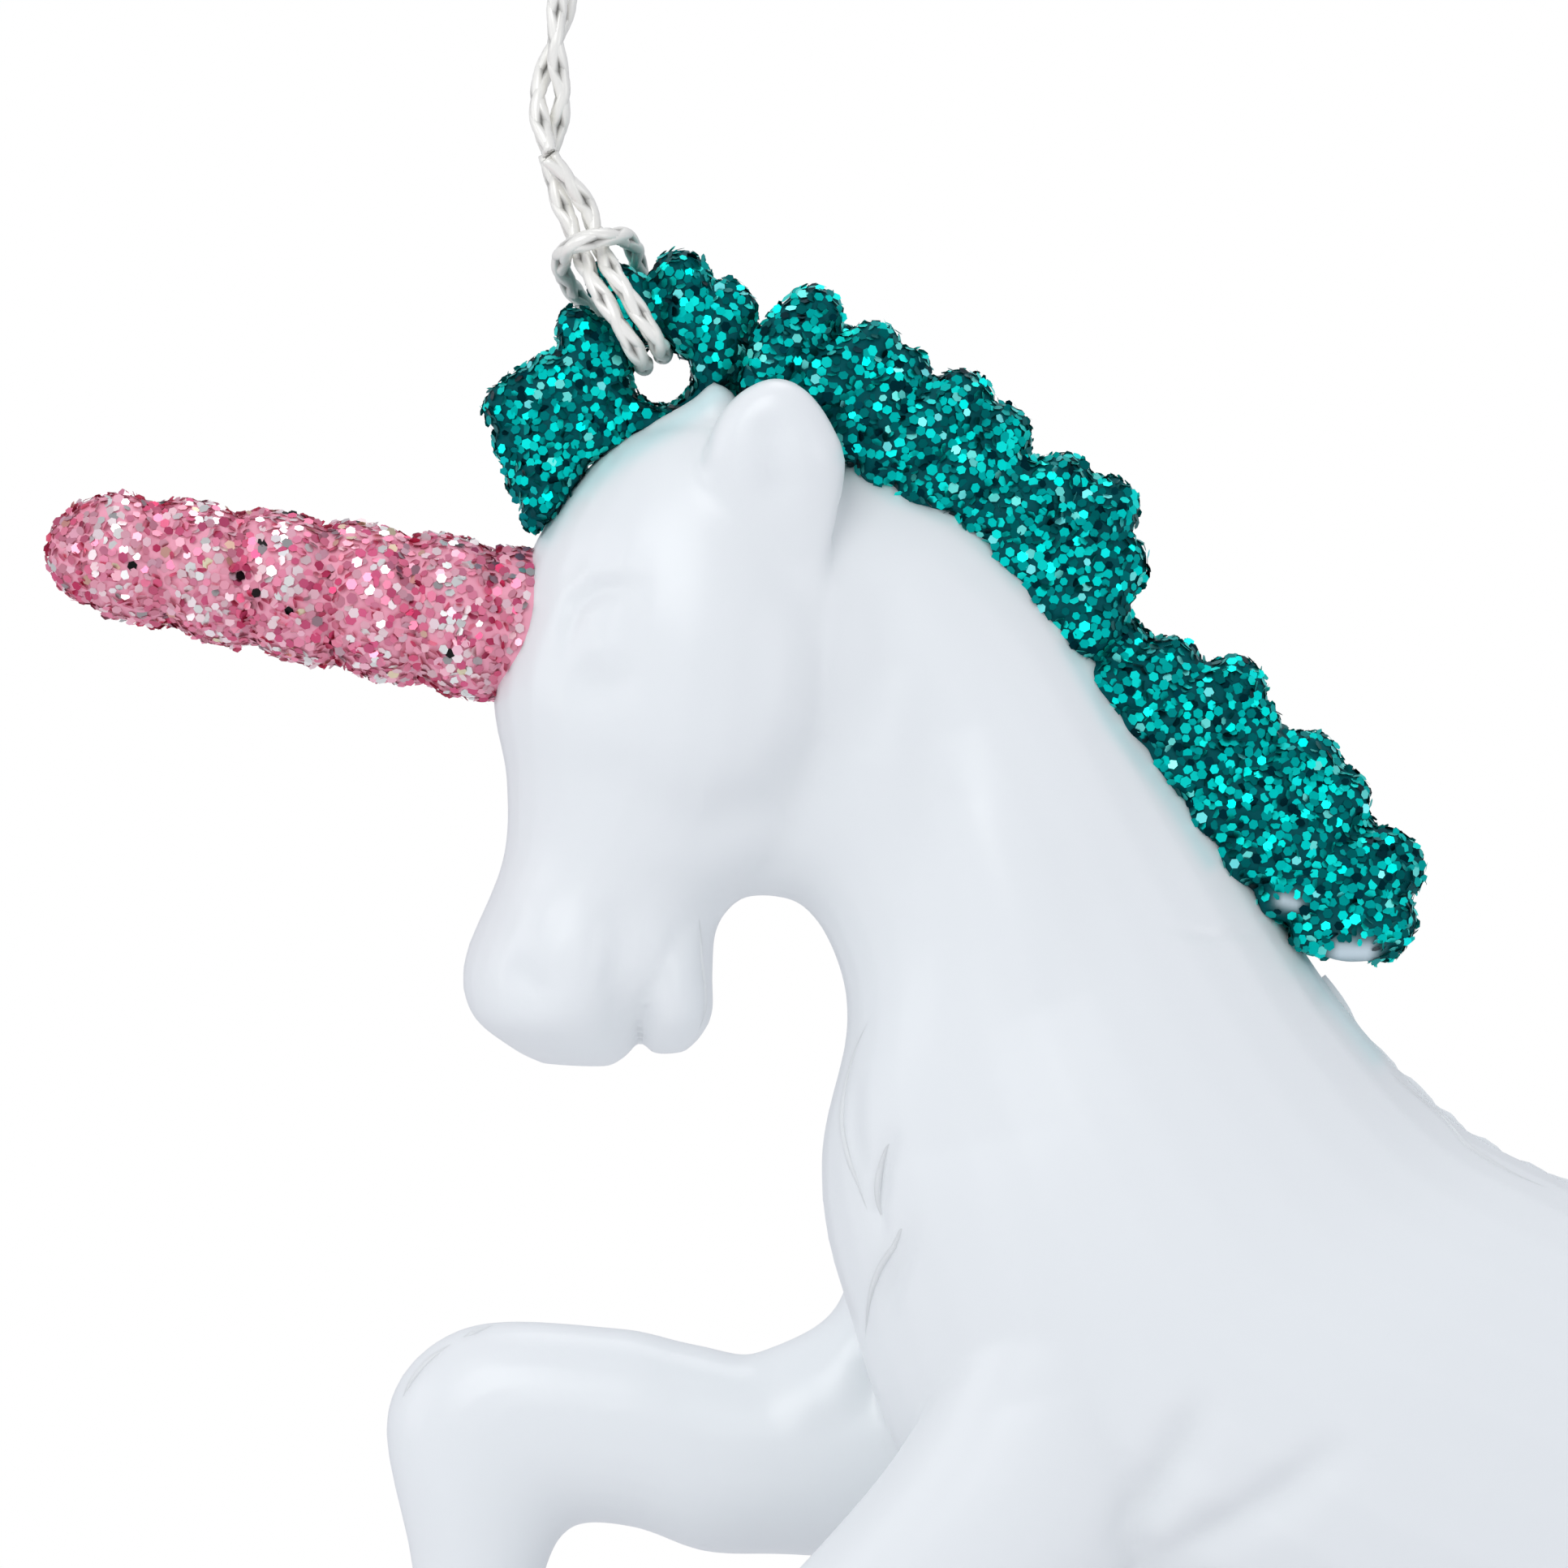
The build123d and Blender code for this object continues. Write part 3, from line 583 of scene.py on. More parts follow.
# Floor and light. Softboxes have a direction from the lit pixel, a distance, a width,
# a power in watts and a colour
FLOOR_DROP = 0.006
FLOOR_RADIUS = 0.42
FLOOR_CENTRE_X = 0.02
FLOOR_POINTS = 96
FLOOR_COLOUR = (0.86, 0.86, 0.87)
FLOOR_ROUGHNESS = 0.7
BACKDROP = (1, 1, 1)
BACKDROP_STRENGTH = 1.0
AMBIENT = (0.862, 0.868, 0.932)
AMBIENT_STRENGTH = 0.72
MIRRORED = (0.80, 0.82, 0.88)
MIRRORED_STRENGTH = 0.72
LIT_PIXEL = (966, 1100)
SOFTBOXES = [
    ("key", (-0.35, -0.85, 0.60), 0.42, 0.22, 0.46, (0.99, 1.0, 0.98)),
    ("side", (-1.0, -0.30, 0.35), 0.42, 0.22, 0.16, (1, 1, 1)),
    ("fill", (0.8, -0.7, 0.10), 0.45, 0.20, 0.15, (1, 1, 1)),
    ("top", (0.1, 0.25, 0.95), 0.42, 0.22, 0.24, (1, 1, 1)),
]


def place(pixel, depth=0.0):
    """The place of a picture point, at the depth y."""
    x = (pixel[0] - LOOP_TOP_PIXEL[0]) * PIXEL
    z = (LOOP_TOP_PIXEL[1] - pixel[1]) * PIXEL
    return Vector((x, depth, z))


def smooth_line(points, steps):
    """Points on a smooth curve through the given ones."""
    points = [Vector(p) for p in points]
    ends = [points[0] * 2 - points[1]] + points + [points[-1] * 2 - points[-2]]
    line = []
    for a, b, c, d in zip(ends, ends[1:], ends[2:], ends[3:]):
        for i in range(steps):
            t = i / steps
            line.append(
                0.5
                * (
                    2 * b
                    + (c - a) * t
                    + (2 * a - 5 * b + 4 * c - d) * t**2
                    + (3 * b - a - 3 * c + d) * t**3
                )
            )
    line.append(points[-1])
    return line


def turns(count):
    """Angles that share a full turn evenly."""
    return [2 * math.pi * i / count for i in range(count)]


def frames(line):
    """Each point of a line, with the way the line runs there and two directions across it."""
    side = Vector((0, 1, 0))
    for i, here in enumerate(line):
        ahead = (line[min(i + 1, len(line) - 1)] - line[max(i - 1, 0)]).normalized()
        side = (side - ahead * side.dot(ahead)).normalized()
        yield here, ahead, side, ahead.cross(side)


def join_rings(rings, closed_ends=True):
    """Vertices and faces of a tube through rings of equal size."""
    count = len(rings[0])
    verts = [tuple(p) for ring in rings for p in ring]
    faces = []
    for i in range(len(rings) - 1):
        for j in range(count):
            k = (j + 1) % count
            faces.append((i * count + j, i * count + k, (i + 1) * count + k, (i + 1) * count + j))
    if closed_ends:
        faces.append(tuple(range(count))[::-1])
        faces.append(tuple((len(rings) - 1) * count + j for j in range(count)))
    return verts, faces


def gather(forms):
    """One list of vertices and faces from several."""
    verts = []
    faces = []
    for form_verts, form_faces in forms:
        start = len(verts)
        verts += form_verts
        faces += [tuple(start + i for i in face) for face in form_faces]
    return verts, faces


def add_object(name, data):
    """An object in the scene that shows the data."""
    obj = bpy.data.objects.new(name, data)
    bpy.context.scene.collection.objects.link(obj)
    return obj


def new_object(name, verts, faces, smooth=False):
    """An object in the scene from vertices and faces."""
    mesh = bpy.data.meshes.new(name)
    mesh.from_pydata([tuple(v) for v in verts], [], faces)
    mesh.validate()
    if smooth:
        mesh.shade_smooth()
    return add_object(name, mesh)


def limb(rows, width, offset=0.0, shift=(0, 0), points=BODY_POINTS, steps=BODY_STEPS):
    """A form through ovals across the figure, smooth from row to row."""
    keys = []
    for upper, lower, share in rows:
        top = place((upper[0] + shift[0], upper[1] + shift[1]), offset)
        low = place((lower[0] + shift[0], lower[1] + shift[1]), offset)
        keys.append((top, low, Vector((width / 2 * share, 0, 0))))
    tops = smooth_line([k[0] for k in keys], steps)
    lows = smooth_line([k[1] for k in keys], steps)
    halves = smooth_line([k[2] for k in keys], steps)
    rings = []
    for top, low, half in zip(tops, lows, halves):
        centre = (top + low) / 2
        rise = (top - low) / 2
        ring = []
        for angle in turns(points):
            ring.append(centre + rise * math.sin(angle) + Vector((0, half.x * math.cos(angle), 0)))
        rings.append(ring)
    return join_rings(rings)


def tube(line, radii, points):
    """A round tube along a line, with a radius for each of its points."""
    rings = []
    for (here, ahead, side, up), radius in zip(frames(line), radii):
        ring = []
        for angle in turns(points):
            ring.append(here + (side * math.cos(angle) + up * math.sin(angle)) * radius)
        rings.append(ring)
    return join_rings(rings)


def lock(rows, half_depth):
    """A lock of hair on each side of the middle, thin at its outer end."""
    forms = []
    for side in (-1, 1):
        points = []
        radii = []
        for (pixel, radius), share in zip(rows, LOCK_SPREAD):
            size = radius * LOCK_SWELL * PIXEL
            reach = half_depth - size * LOCK_INSET_SHARE
            points.append(place(pixel, side * max(reach, 0.0) * share))
            radii.append(Vector((size, 0, 0)))
        line = smooth_line(points, LOCK_STEPS)
        sizes = [r.x for r in smooth_line(radii, LOCK_STEPS)]
        start = line[0] + (line[0] - line[1]).normalized() * sizes[0] * LOCK_CAP_LENGTH_SHARE
        finish = line[-1] + (line[-1] - line[-2]).normalized() * sizes[-1] * LOCK_CAP_LENGTH_SHARE
        caps = (sizes[0] * LOCK_CAP_RADIUS_SHARE, sizes[-1] * LOCK_CAP_RADIUS_SHARE)
        radii = [caps[0]] + sizes + [caps[1]]
        forms.append(tube([start] + line + [finish], radii, LOCK_POINTS))
    return forms


def melted(name, forms, voxel, rounds):
    """The forms as one closed skin, smoothed."""
    verts, faces = gather(forms)
    rough = new_object(name + "_rough", verts, faces)
    remesh = rough.modifiers.new("remesh", "REMESH")
    remesh.mode = "VOXEL"
    remesh.voxel_size = voxel
    soften = rough.modifiers.new("soften", "SMOOTH")
    soften.factor = SOFTEN_FACTOR
    soften.iterations = rounds
    ready = rough.evaluated_get(bpy.context.evaluated_depsgraph_get())
    mesh = bpy.data.meshes.new_from_object(ready)
    mesh.name = name
    bpy.data.objects.remove(rough)
    mesh.shade_smooth()
    return add_object(name, mesh)


def vertex_rows(mesh, kind="co"):
    """The places of a mesh's vertices, or their normals, a row each."""
    values = np.empty(len(mesh.vertices) * 3)
    mesh.vertices.foreach_get(kind, values)
    return values.reshape(-1, 3)


def set_coordinates(mesh, places):
    """Moves a mesh's vertices to the places, a row each."""
    mesh.vertices.foreach_set("co", places.ravel())
    mesh.update()


def picture_points(places):
    """Picture coordinates of places."""
    across = places[:, 0] / PIXEL + LOOP_TOP_PIXEL[0]
    down = LOOP_TOP_PIXEL[1] - places[:, 2] / PIXEL
    return np.stack([across, down], axis=1)


def stroke_weight(points, line, reach, faded=False):
    """How much a stroke acts on picture points: 1 on its line, less towards its ends if faded."""
    nearest = np.full(len(points), np.inf)
    share = np.zeros(len(points))
    for i, (a, b) in enumerate(zip(line, line[1:])):
        a = np.array(a, float)
        b = np.array(b, float)
        along = np.clip(((points - a) @ (b - a)) / ((b - a) @ (b - a)), 0, 1)
        gap = np.linalg.norm(points - (a + along[:, None] * (b - a)), axis=1)
        share = np.where(gap < nearest, (i + along) / (len(line) - 1), share)
        nearest = np.minimum(nearest, gap)
    weight = np.exp(-((nearest / reach) ** 2))
    return weight * np.sin(math.pi * share) if faded else weight


def relief(obj, strokes, sides=(-1, 1), shift=(0, 0), faded=False, outline=False):
    """Raises or sinks the surface along strokes drawn on the picture."""
    mesh = obj.data
    places = vertex_rows(mesh)
    pixels = picture_points(places) - np.array(shift, float)
    for line, reach, height in strokes:
        directions = vertex_rows(mesh, "normal")
        weight = stroke_weight(pixels, line, reach, faded)
        for side in sides:
            facing = np.clip(directions[:, 1] * side * FACING_GAIN, 0, 1)
            if outline:
                facing = np.ones(len(places))
            facing = facing * (places[:, 1] * side > 0)
            places += directions * (weight * facing * height * MILLIMETRE)[:, None]
        set_coordinates(mesh, places)


def paint_amount(pixels, strokes):
    """How much of another colour lies at picture points."""
    amount = np.zeros(len(pixels))
    for line, reach, strength in strokes:
        amount = np.maximum(amount, strength * stroke_weight(pixels, line, reach))
    return amount


def store_colours(obj, name, values):
    """Keeps four values of a colour on each vertex."""
    layer = obj.data.color_attributes.new(name, "FLOAT_COLOR", "POINT")
    layer.data.foreach_set("color", values.ravel().astype(np.float32))


def paint(obj, strokes):
    """Lays paint on an object along strokes drawn on the picture."""
    amount = paint_amount(picture_points(vertex_rows(obj.data)), strokes)
    store_colours(obj, "paint", np.repeat(amount, 4))


def relax(obj, centres, reach, rounds, hold):
    """Softens the skin round picture points, and less so its larger forms the more they hold."""
    mesh = obj.data
    places = vertex_rows(mesh)
    edges = np.empty(len(mesh.edges) * 2, int)
    mesh.edges.foreach_get("vertices", edges)
    edges = edges.reshape(-1, 2)
    pixels = picture_points(places)
    weight = np.zeros(len(places))
    for centre in centres:
        gap = np.linalg.norm(pixels - np.array(centre, float), axis=1)
        weight = np.maximum(weight, np.clip(RELAX_EDGE - RELAX_EDGE * gap / reach, 0, 1))
    count = np.bincount(edges.ravel(), minlength=len(places)).astype(float)
    for turn in range(rounds):
        factor = SOFTEN_FACTOR if turn % 2 == 0 else -hold
        total = np.zeros_like(places)
        for axis in range(3):
            total[:, axis] = np.bincount(edges[:, 0], places[edges[:, 1], axis], len(places))
            total[:, axis] += np.bincount(edges[:, 1], places[edges[:, 0], axis], len(places))
        places += (total / count[:, None] - places) * (weight * factor)[:, None]
    set_coordinates(mesh, places)


def body():
    """The figurine's skin, with the relief of its face, neck, chest and hooves."""
    forms = [
        limb(TRUNK_ROWS, TRUNK_WIDTH),
        limb(HEAD_ROWS, HEAD_WIDTH),
        limb(CHIN_ROWS, HEAD_WIDTH),
        limb(EAR_ROWS, EAR_WIDTH, -EAR_OFFSET),
        limb(EAR_ROWS, EAR_WIDTH, EAR_OFFSET, FAR_EAR_SHIFT),
        limb(NEAR_FORELEG_ROWS, FORELEG_WIDTH, -FORELEG_OFFSET),
        limb(FAR_FORELEG_ROWS, FORELEG_WIDTH, FORELEG_OFFSET),
        limb(HIND_LEG_ROWS, HIND_LEG_WIDTH, -HIND_LEG_OFFSET),
        limb(HIND_LEG_ROWS, HIND_LEG_WIDTH, HIND_LEG_OFFSET, FAR_HIND_LEG_SHIFT),
        limb(POLL_ROWS, POLL_WIDTH, -POLL_OFFSET),
        limb(POLL_ROWS, POLL_WIDTH, POLL_OFFSET),
        limb(FILLET_ROWS, FORELEG_WIDTH, FORELEG_OFFSET),
    ]
    obj = melted("body_skin", forms, BODY_VOXEL, BODY_SOFTEN_ROUNDS)
    for centres, reach, rounds, hold in SOFT_JOINS:
        relax(obj, centres, reach, rounds, hold)
    relief(obj, FACE_STROKES)
    relief(obj, JAW_CREASES + NECK_CREASES, faded=True)
    relief(obj, CHEST_CREASES, sides=(-1,), faded=True)
    relief(obj, [EAR_HOLLOW], sides=(-1,))
    relief(obj, [EAR_HOLLOW], sides=(1,), shift=FAR_EAR_SHIFT)
    relief(obj, HOOF_GROOVES, outline=True)
    paint(obj, PAINT_SMEARS)
    return obj


def back_flash():
    """A thin uneven sheet on the parting plane, along the back."""
    ragged = random.Random(SEED)
    outer = smooth_line([place(pixel) for pixel in BACK_FLASH], FLASH_STEPS)
    verts = []
    faces = []
    for i, (point, ahead, side, up) in enumerate(frames(outer)):
        inward = Vector((ahead.z, 0, -ahead.x))
        inward = inward if inward.z < 0 else -inward
        wave = math.sin(i * FLASH_WAVE_TURN) * FLASH_WAVE_PIXELS
        wave += ragged.uniform(*FLASH_RAGGED_PIXELS)
        edge = point - inward * wave * PIXEL
        for depth in (-FLASH_THICKNESS / 2, FLASH_THICKNESS / 2):
            verts.append(edge + Vector((0, depth, 0)))
            verts.append(point + inward * FLASH_WIDTH_PIXELS * PIXEL + Vector((0, depth, 0)))
    for i in range(len(outer) - 1):
        a = 4 * i
        b = a + 4
        faces += [(a, a + 1, b + 1, b), (a + 2, b + 2, b + 3, a + 3), (a, b, b + 2, a + 2)]
    return new_object("back_flash", verts, faces)


def seams(skin_tree):
    """Fine raised lines where the mouldings meet, laid on the near side of the skin."""
    forms = []
    for pixels in SEAMS:
        line = []
        for point in smooth_line([Vector((x, y, 0)) for x, y in pixels], SEAM_STEPS):
            start = place((point.x, point.y), SEAM_RAY_START)
            hit, normal = skin_tree.ray_cast(start, Vector((0, 1, 0)))[:2]
            if hit:
                line.append(hit - normal * SEAM_SINK)
        swells = [math.sin(math.pi * i / (len(line) - 1)) for i in range(len(line))]
        radii = [SEAM_RADIUS * (SEAM_END_SHARE + (1 - SEAM_END_SHARE) * swell) for swell in swells]
        forms.append(tube(line, radii, SEAM_POINTS))
    return new_object("mould_seams", *gather(forms), smooth=True)


def hair(name, rows_list, thickness, locks, extra=()):
    """Locks of hair on the swells under them."""
    forms = [limb(rows, thickness, points=HAIR_POINTS, steps=HAIR_STEPS) for rows in rows_list]
    for rows in locks:
        forms += lock(rows, thickness / 2)
    forms += list(extra)
    return melted(name, forms, HAIR_VOXEL, HAIR_SOFTEN_ROUNDS)


def eyelet_rim():
    """A thick ring of hair round the hole for the cord."""
    centre = place(EYELET_PIXEL)
    rings = []
    for angle in turns(EYELET_RIM_STEPS):
        outward = Vector((math.cos(angle), 0, math.sin(angle)))
        middle = centre + outward * EYELET_RIM_RADIUS_PIXELS * PIXEL
        ring = []
        for turn in turns(EYELET_RIM_POINTS):
            across = outward * math.cos(turn) * EYELET_RIM_HALF_PIXELS * PIXEL
            ring.append(middle + across + Vector((0, math.sin(turn) * EYELET_RIM_DEPTH, 0)))
        rings.append(ring)
    return join_rings(rings + [rings[0]], closed_ends=False)


def horn_frame():
    """The foot of the horn, its axis and two directions across it."""
    angle = math.radians(HORN_DROOP)
    axis = Vector((-math.cos(angle), 0, math.sin(angle)))
    side = Vector((0, 1, 0))
    return place(HORN_BASE_PIXEL), axis, side, axis.cross(side)


def horn_groove(angle, along):
    """How deep in the winding groove a place on the horn is, from 0 to 1."""
    return 0.5 + 0.5 * math.cos(angle - 2 * math.pi * along / HORN_PITCH)


def horn():
    """The blunt horn with its winding groove."""
    foot, axis, side, up = horn_frame()
    rings = []
    length = HORN_LENGTH + HORN_SEAT
    for i in range(HORN_STEPS + 1):
        along = i / HORN_STEPS
        nose = max(0.0, (along - 1 + HORN_NOSE_SHARE) / HORN_NOSE_SHARE)
        radius = HORN_BASE_RADIUS + (HORN_TIP_RADIUS - HORN_BASE_RADIUS) * along**HORN_TAPER_POWER
        radius *= math.sqrt(max(1 - nose**HORN_NOSE_POWER, HORN_NOSE_LEAST))
        ring = []
        for angle in turns(HORN_POINTS):
            reach = radius - HORN_GROOVE * horn_groove(angle, along * length) ** 3 * (1 - nose)
            outward = side * math.cos(angle) + up * math.sin(angle)
            ring.append(foot + axis * (along * length - HORN_SEAT) + outward * reach)
        rings.append(ring)
    return new_object("horn_core", *join_rings(rings), smooth=True)


def horn_groove_painted_shade(spot):
    """Painted shade: deeper red towards the bottom of the horn's groove."""
    foot, axis, side, up = horn_frame()
    along = (spot - foot).dot(axis) + HORN_SEAT
    angle = math.atan2((spot - foot).dot(up), (spot - foot).dot(side))
    depth = horn_groove(angle, along) ** 2
    return [1 - share * depth for share in HORN_GROOVE_PAINTED_SHADE]


def scattered(base, rng):
    """Random spots on a surface, spread evenly over its area, and their normals."""
    mesh = base.data
    mesh.calc_loop_triangles()
    tri = np.empty(len(mesh.loop_triangles) * 3, int)
    mesh.loop_triangles.foreach_get("vertices", tri)
    tri = tri.reshape(-1, 3)
    places = vertex_rows(mesh)
    a, b, c = places[tri[:, 0]], places[tri[:, 1]], places[tri[:, 2]]
    cross = np.cross(b - a, c - a)
    area = np.linalg.norm(cross, axis=1) / 2
    total = area.sum()
    flake_area = 1.5 * math.sqrt(3) * FLAKE_RADIUS**2
    tries = int(total * FLAKE_COVERAGE / flake_area) * TRIES_PER_FLAKE
    chosen = rng.choice(len(tri), tries, p=area / total)
    u = rng.random((tries, 2))
    flip = u.sum(axis=1) > 1
    u[flip] = 1 - u[flip]
    spots = a[chosen] + (b[chosen] - a[chosen]) * u[:, :1] + (c[chosen] - a[chosen]) * u[:, 1:]
    return spots, cross[chosen] / np.linalg.norm(cross[chosen], axis=1)[:, None]


def spaced(spots):
    """The numbers of those spots that lie clear of every spot taken before them."""
    taken = {}
    numbers = []
    for number, spot in enumerate(spots):
        spot = Vector(spot)
        cell = tuple(int(math.floor(v / FLAKE_SPACING)) for v in spot)
        around = (
            taken.get((cell[0] + dx, cell[1] + dy, cell[2] + dz))
            for dx in (-1, 0, 1)
            for dy in (-1, 0, 1)
            for dz in (-1, 0, 1)
        )
        if not any(other and (other - spot).length < FLAKE_SPACING for other in around):
            taken[cell] = spot
            numbers.append(number)
    return numbers


def flake(spot, normal, rng):
    """Corners of a flake that lies a little above a spot, turned and tilted at random."""
    tilt = Vector(rng.normal(0, FLAKE_TILT, 3))
    facing = (normal + tilt).normalized()
    side = facing.orthogonal().normalized()
    turn = rng.uniform(0, 2 * math.pi)
    radius = FLAKE_RADIUS * rng.choice(FLAKE_SIZES)
    centre = spot + normal * rng.uniform(*FLAKE_LIFT)
    corners = []
    for angle in turns(FLAKE_SIDES):
        across = Matrix.Rotation(turn + angle, 3, facing) @ side
        corners.append(centre + across * radius)
    return corners


def flakes(name, base, palette, rng, keep, painted_shade_at=lambda spot: (1, 1, 1)):
    """Hexagonal flakes laid at random on a surface, each with its own colour."""
    spots, outward = scattered(base, rng)
    colours = np.array([colour for colour, share in palette])
    shares = np.array([share for colour, share in palette], float)
    picks = rng.choice(len(palette), len(spots), p=shares / shares.sum())
    verts = []
    tints = []
    for i in spaced(spots):
        spot = Vector(spots[i])
        if keep(spot):
            verts += flake(spot, Vector(outward[i]), rng)
            # A flake's colour, times a random tone and any painted shade
            shade = colours[picks[i]] * rng.uniform(*FLAKE_SHADES) * np.array(painted_shade_at(spot))
            tints.append(np.clip(shade, 0, 1))
    faces = [tuple(range(k, k + FLAKE_SIDES)) for k in range(0, len(verts), FLAKE_SIDES)]
    obj = new_object(name, verts, faces)
    values = np.ones((len(verts), 4))
    values[:, :3] = np.repeat(np.array(tints), FLAKE_SIDES, axis=0)
    store_colours(obj, "tint", values)
    return obj


def clear_of(skin_tree):
    """A test that is true where a flake is neither inside the body nor on a bare spot."""

    def is_clear(spot):
        near, facing = skin_tree.find_nearest(spot)[:2]
        bare = paint_amount(picture_points(np.array([spot])), BARE_SPOTS)[0]
        return (spot - near).dot(facing) > FLAKE_CLEARANCE and bare < BARE_LIMIT

    return is_clear


def route(rows, depth):
    """Places of a cord's route, each at its share of the depth."""
    return [place(pixel, depth * share) for pixel, share in rows]


def nurbs_line(name, points):
    """Points read from the smooth NURBS curve of a route."""
    curve = bpy.data.curves.new(name, "CURVE")
    curve.dimensions = "3D"
    curve.resolution_u = CURVE_RESOLUTION
    spline = curve.splines.new("NURBS")
    spline.points.add(len(points) - 1)
    for spot, point in zip(spline.points, points):
        spot.co = (*point, 1)
    spline.order_u = 3
    spline.use_endpoint_u = True
    holder = add_object(name, curve)
    ready = holder.evaluated_get(bpy.context.evaluated_depsgraph_get())
    mesh = bpy.data.meshes.new_from_object(ready)
    line = [v.co.copy() for v in mesh.vertices]
    bpy.data.meshes.remove(mesh)
    bpy.data.objects.remove(holder)
    return line


def even_points(line, spacing):
    """Points along a line, an even distance apart."""
    lengths = [0.0]
    for a, b in zip(line, line[1:]):
        lengths.append(lengths[-1] + (b - a).length)
    count = max(2, int(round(lengths[-1] / spacing)))
    points = []
    j = 0
    for i in range(count + 1):
        target = lengths[-1] * i / count
        while j < len(line) - 2 and lengths[j + 1] < target:
            j += 1
        span = max(lengths[j + 1] - lengths[j], LEAST_SPAN)
        points.append(line[j].lerp(line[j + 1], (target - lengths[j]) / span))
    return points


def ply(line, way, start):
    """One ply that winds round a line, under and over the plies that wind the other way."""
    rings = []
    for i, (here, ahead, side, up) in enumerate(frames(line)):
        angle = start + way * 2 * math.pi * (i * BRAID_SPACING) / PLY_PITCH
        outward = side * math.cos(angle) + up * math.sin(angle)
        across = ahead.cross(outward)
        over = PLY_OFFSET_SHARE + PLY_WEAVE_SHARE * way * math.cos(2 * angle)
        centre = here + outward * CORD_DIAMETER * over
        ring = []
        for turn in turns(PLY_POINTS):
            ring.append(
                centre
                + outward * math.cos(turn) * CORD_DIAMETER * PLY_HEIGHT_SHARE
                + across * math.sin(turn) * CORD_DIAMETER * PLY_WIDTH_SHARE
            )
        rings.append(ring)
    return join_rings(rings)


def braid(name, line, lead=0.0, tail=0.0):
    """A braided cord: plies that wind both ways round the line, which may run on at its ends."""
    start = line[0] + (line[0] - line[1]).normalized() * lead
    finish = line[-1] + (line[-1] - line[-2]).normalized() * tail
    line = even_points([start] + line + [finish], BRAID_SPACING)
    forms = []
    for turn in (0, math.pi):
        forms.append(ply(line, 1, turn))
        forms.append(ply(line, -1, turn + PLY_SHIFT))
    verts, faces = gather(forms)
    obj = new_object(name, verts, faces, smooth=True)
    # Painted shade: each ply is darkened on the sides that face in towards the cord's middle,
    # fading in over the first rows at each end
    angles = 2 * np.pi * np.arange(len(verts)) / PLY_POINTS
    rows = np.arange(len(verts)) // PLY_POINTS % len(line)
    inward = np.clip(np.minimum(rows, len(line) - 1 - rows) / GROOVE_FADE_ROWS, 0, 1)
    depth = np.clip(GROOVE_BIAS - GROOVE_GAIN * np.cos(angles), 0, 1)
    store_colours(obj, "paint", np.repeat(GROOVE_SHADE * inward * depth, 4))
    return obj


def end_knot():
    """An overhand knot drawn tight, with two short tails."""
    top = place(KNOT_PIXELS[0])
    foot = place(KNOT_PIXELS[1])
    centre = (top + foot) / 2
    span = (foot - top).length
    axis = (foot - top).normalized()
    side = Vector((0, 1, 0))
    across = axis.cross(side)
    ring = KNOT_DIAMETER / 2 - CORD_DIAMETER * KNOT_INSET_SHARE
    line = []
    for i in range(KNOT_STEPS + 1):
        t = 2 * math.pi * i / KNOT_STEPS
        x = (math.sin(t) + 2 * math.sin(2 * t)) / 3
        y = (math.cos(t) - 2 * math.cos(2 * t)) / 3
        z = -math.sin(3 * t)
        flat = centre + side * x * ring + across * y * ring
        line.append(flat + axis * z * span * KNOT_HEIGHT_SHARE)
    forms = [tube(line, [CORD_DIAMETER * KNOT_CORD_SHARE] * len(line), KNOT_POINTS)]
    tail_radii = [CORD_DIAMETER * share for share in KNOT_TAIL_SHARES]
    last = len(tail_radii) - 1
    for direction in KNOT_TAIL_DIRECTIONS:
        way = Vector(direction).normalized()
        tail = [centre + way * KNOT_TAIL * k / last for k in range(last + 1)]
        forms.append(tube(tail, tail_radii, KNOT_TAIL_POINTS))
    return new_object("knot_of_cord", *gather(forms), smooth=True)


def plain_material(name, colour, roughness, metallic=0.0, **sockets):
    """A material of one colour; other sockets are named with underscores."""
    material = bpy.data.materials.new(name)
    material.use_nodes = True
    shader = material.node_tree.nodes["Principled BSDF"]
    shader.inputs["Base Color"].default_value = (*colour, 1)
    shader.inputs["Roughness"].default_value = roughness
    shader.inputs["Metallic"].default_value = metallic
    for socket, value in sockets.items():
        shader.inputs[socket.replace("_", " ")].default_value = value
    return material


def painted(material, colour, other):
    """Mixes another colour in, as much as the vertices' paint says; on the cord it is painted
    shade between the plies.
    """
    nodes = material.node_tree.nodes
    links = material.node_tree.links
    layer = nodes.new("ShaderNodeVertexColor")
    layer.layer_name = "paint"
    mix = nodes.new("ShaderNodeMix")
    mix.data_type = "RGBA"
    mix.inputs["A"].default_value = (*colour, 1)
    mix.inputs["B"].default_value = (*other, 1)
    links.new(layer.outputs["Color"], mix.inputs["Factor"])
    links.new(mix.outputs["Result"], nodes["Principled BSDF"].inputs["Base Color"])
    return material


def milky_plastic():
    """Glossy milky plastic, with a little teal paint on it."""
    material = plain_material(
        "milky_plastic",
        MILKY,
        MILKY_ROUGHNESS,
        Subsurface_Weight=0.25,
        Subsurface_Radius=(1.0, 0.95, 1.0),
        Subsurface_Scale=0.0015,
    )
    return painted(material, MILKY, SMEAR)


def teal_varnish(name):
    """The dull varnish under the teal glitter."""
    return plain_material(name, TEAL_VARNISH, TEAL_ROUGHNESS, Specular_IOR_Level=0.05)


